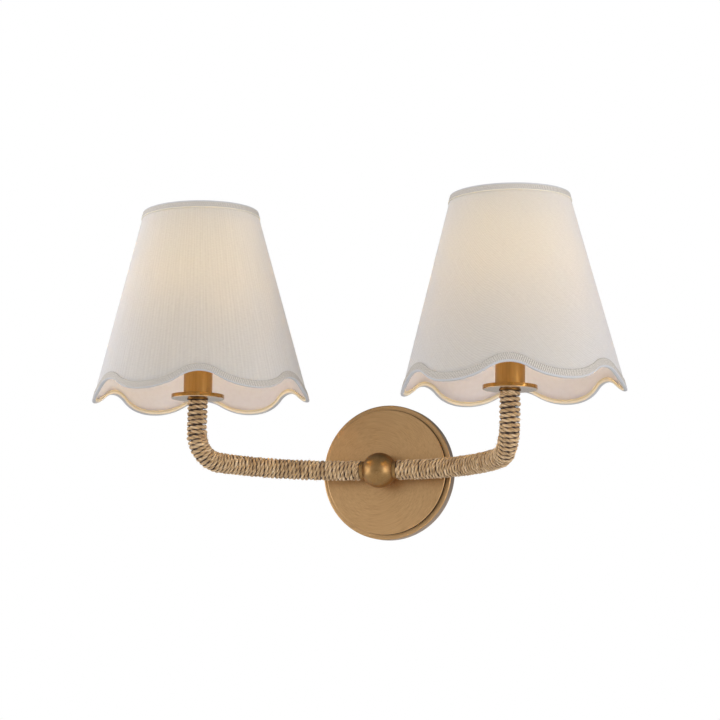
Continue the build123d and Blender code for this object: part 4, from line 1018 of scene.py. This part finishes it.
def photo_camera():
    """Camera at the photograph's angle: right and below the hub, looking up a little."""
    yaw, pitch, roll = CAMERA_YAW, CAMERA_PITCH, CAMERA_ROLL
    forward = Vector((-math.sin(yaw) * math.cos(pitch), math.cos(yaw) * math.cos(pitch), math.sin(pitch)))
    level = Vector((math.cos(yaw), math.sin(yaw), 0))
    upright = level.cross(forward)
    right = level * math.cos(roll) + upright * math.sin(roll)
    up = upright * math.cos(roll) - level * math.sin(roll)
    data = bpy.data.cameras.new("camera")
    data.sensor_width = 36.0
    data.lens = FOCAL_PIXELS / PICTURE_PIXELS * data.sensor_width
    data.clip_start = 0.05
    data.clip_end = 100.0
    camera = bpy.data.objects.new("camera", data)
    camera.matrix_world = Matrix((
        (right.x, up.x, -forward.x, CAMERA_PLACE.x),
        (right.y, up.y, -forward.y, CAMERA_PLACE.y),
        (right.z, up.z, -forward.z, CAMERA_PLACE.z),
        (0, 0, 0, 1),
    ))
    bpy.context.scene.collection.objects.link(camera)
    bpy.context.scene.camera = camera


def softbox(name, place, target, width, height, watts, colour=(1, 1, 1), mirrored=True):
    """A soft rectangular light that faces a target; mirrored is whether metal reflects it."""
    data = bpy.data.lights.new(name, "AREA")
    data.shape = "RECTANGLE"
    data.size = width
    data.size_y = height
    data.energy = watts
    data.color = colour
    light = bpy.data.objects.new(name, data)
    light.location = place
    light.visible_glossy = mirrored
    light.rotation_mode = "QUATERNION"
    light.rotation_quaternion = (Vector(target) - Vector(place)).to_track_quat("-Z", "Y")
    bpy.context.scene.collection.objects.link(light)


def studio():
    """Soft boxes at both sides and above, a pale room and a white background."""
    softbox("left_softbox", (-1.3, -0.55, 0.25), SIDE_AIM, *SIDE_SIZE, 12.0, DAYLIGHT)
    softbox("right_softbox", (1.35, -0.75, 0.25), SIDE_AIM, *SIDE_SIZE, 13.5, DAYLIGHT)
    softbox("top_softbox", (0.1, -0.9, 1.4), TOP_AIM, *TOP_SIZE, 6.0, mirrored=False)
    world = bpy.data.worlds.new("studio")
    world.use_nodes = True
    tree = world.node_tree
    tree.nodes.clear()
    ray = add(tree, "ShaderNodeLightPath").outputs
    seen = calc(tree, "MAXIMUM", ray["Is Camera Ray"], ray["Is Transmission Ray"])
    facing = add(tree, "ShaderNodeSeparateXYZ", {0: add(tree, "ShaderNodeTexCoord").outputs["Generated"]})
    aside = calc(tree, "ABSOLUTE", facing.outputs[0])
    mirrored = shades(tree, aside, (0.0, (0.48, 0.48, 0.48)), (0.9, (1.0, 1.0, 1.0)))
    behind = span(tree, facing.outputs[1], 1.0, 0.35, -0.2, 0.4)
    above = span(tree, facing.outputs[2], 1.0, 0.60, 0.35, 0.85)
    room = add(tree, "ShaderNodeBackground", {"Color": (1.0, 0.99, 0.98, 1.0), "Strength": 0.40})
    mirror = add(tree, "ShaderNodeBackground",
                 {"Color": mirrored, "Strength": calc(tree, "MULTIPLY", behind, above)})
    white = add(tree, "ShaderNodeBackground", {"Color": (1.0, 1.0, 1.0, 1.0), "Strength": 1.0})
    lit = mix_surfaces(tree, ray["Is Glossy Ray"], room.outputs[0], mirror.outputs[0])
    shown = mix_surfaces(tree, seen, lit, white.outputs[0])
    add(tree, "ShaderNodeOutputWorld", {"Surface": shown})
    bpy.context.scene.world = world
    bpy.context.scene.view_settings.view_transform = "Standard"


FLOOR_Z = -0.32
FLOOR_HALF = 6.0


def pale_floor():
    corners = [(x * FLOOR_HALF, y * FLOOR_HALF, FLOOR_Z) for x, y in ((-1, -1), (1, -1), (1, 1), (-1, 1))]
    floor = mesh_piece("floor", corners, [(0, 1, 2, 3)])
    material, tree, surface = new_finish("pale_floor", roughness=0.9)
    grain = noise(tree, place_of(tree), 30.0, 3.0)
    tree.links.new(shades(tree, grain, (0.3, (0.84, 0.84, 0.835)), (0.7, (0.87, 0.87, 0.865))),
                   surface.inputs["Base Color"])
    floor.data.materials.append(material)


photo_camera()
studio()
pale_floor()
dress_frame()
dress_soft_pieces()
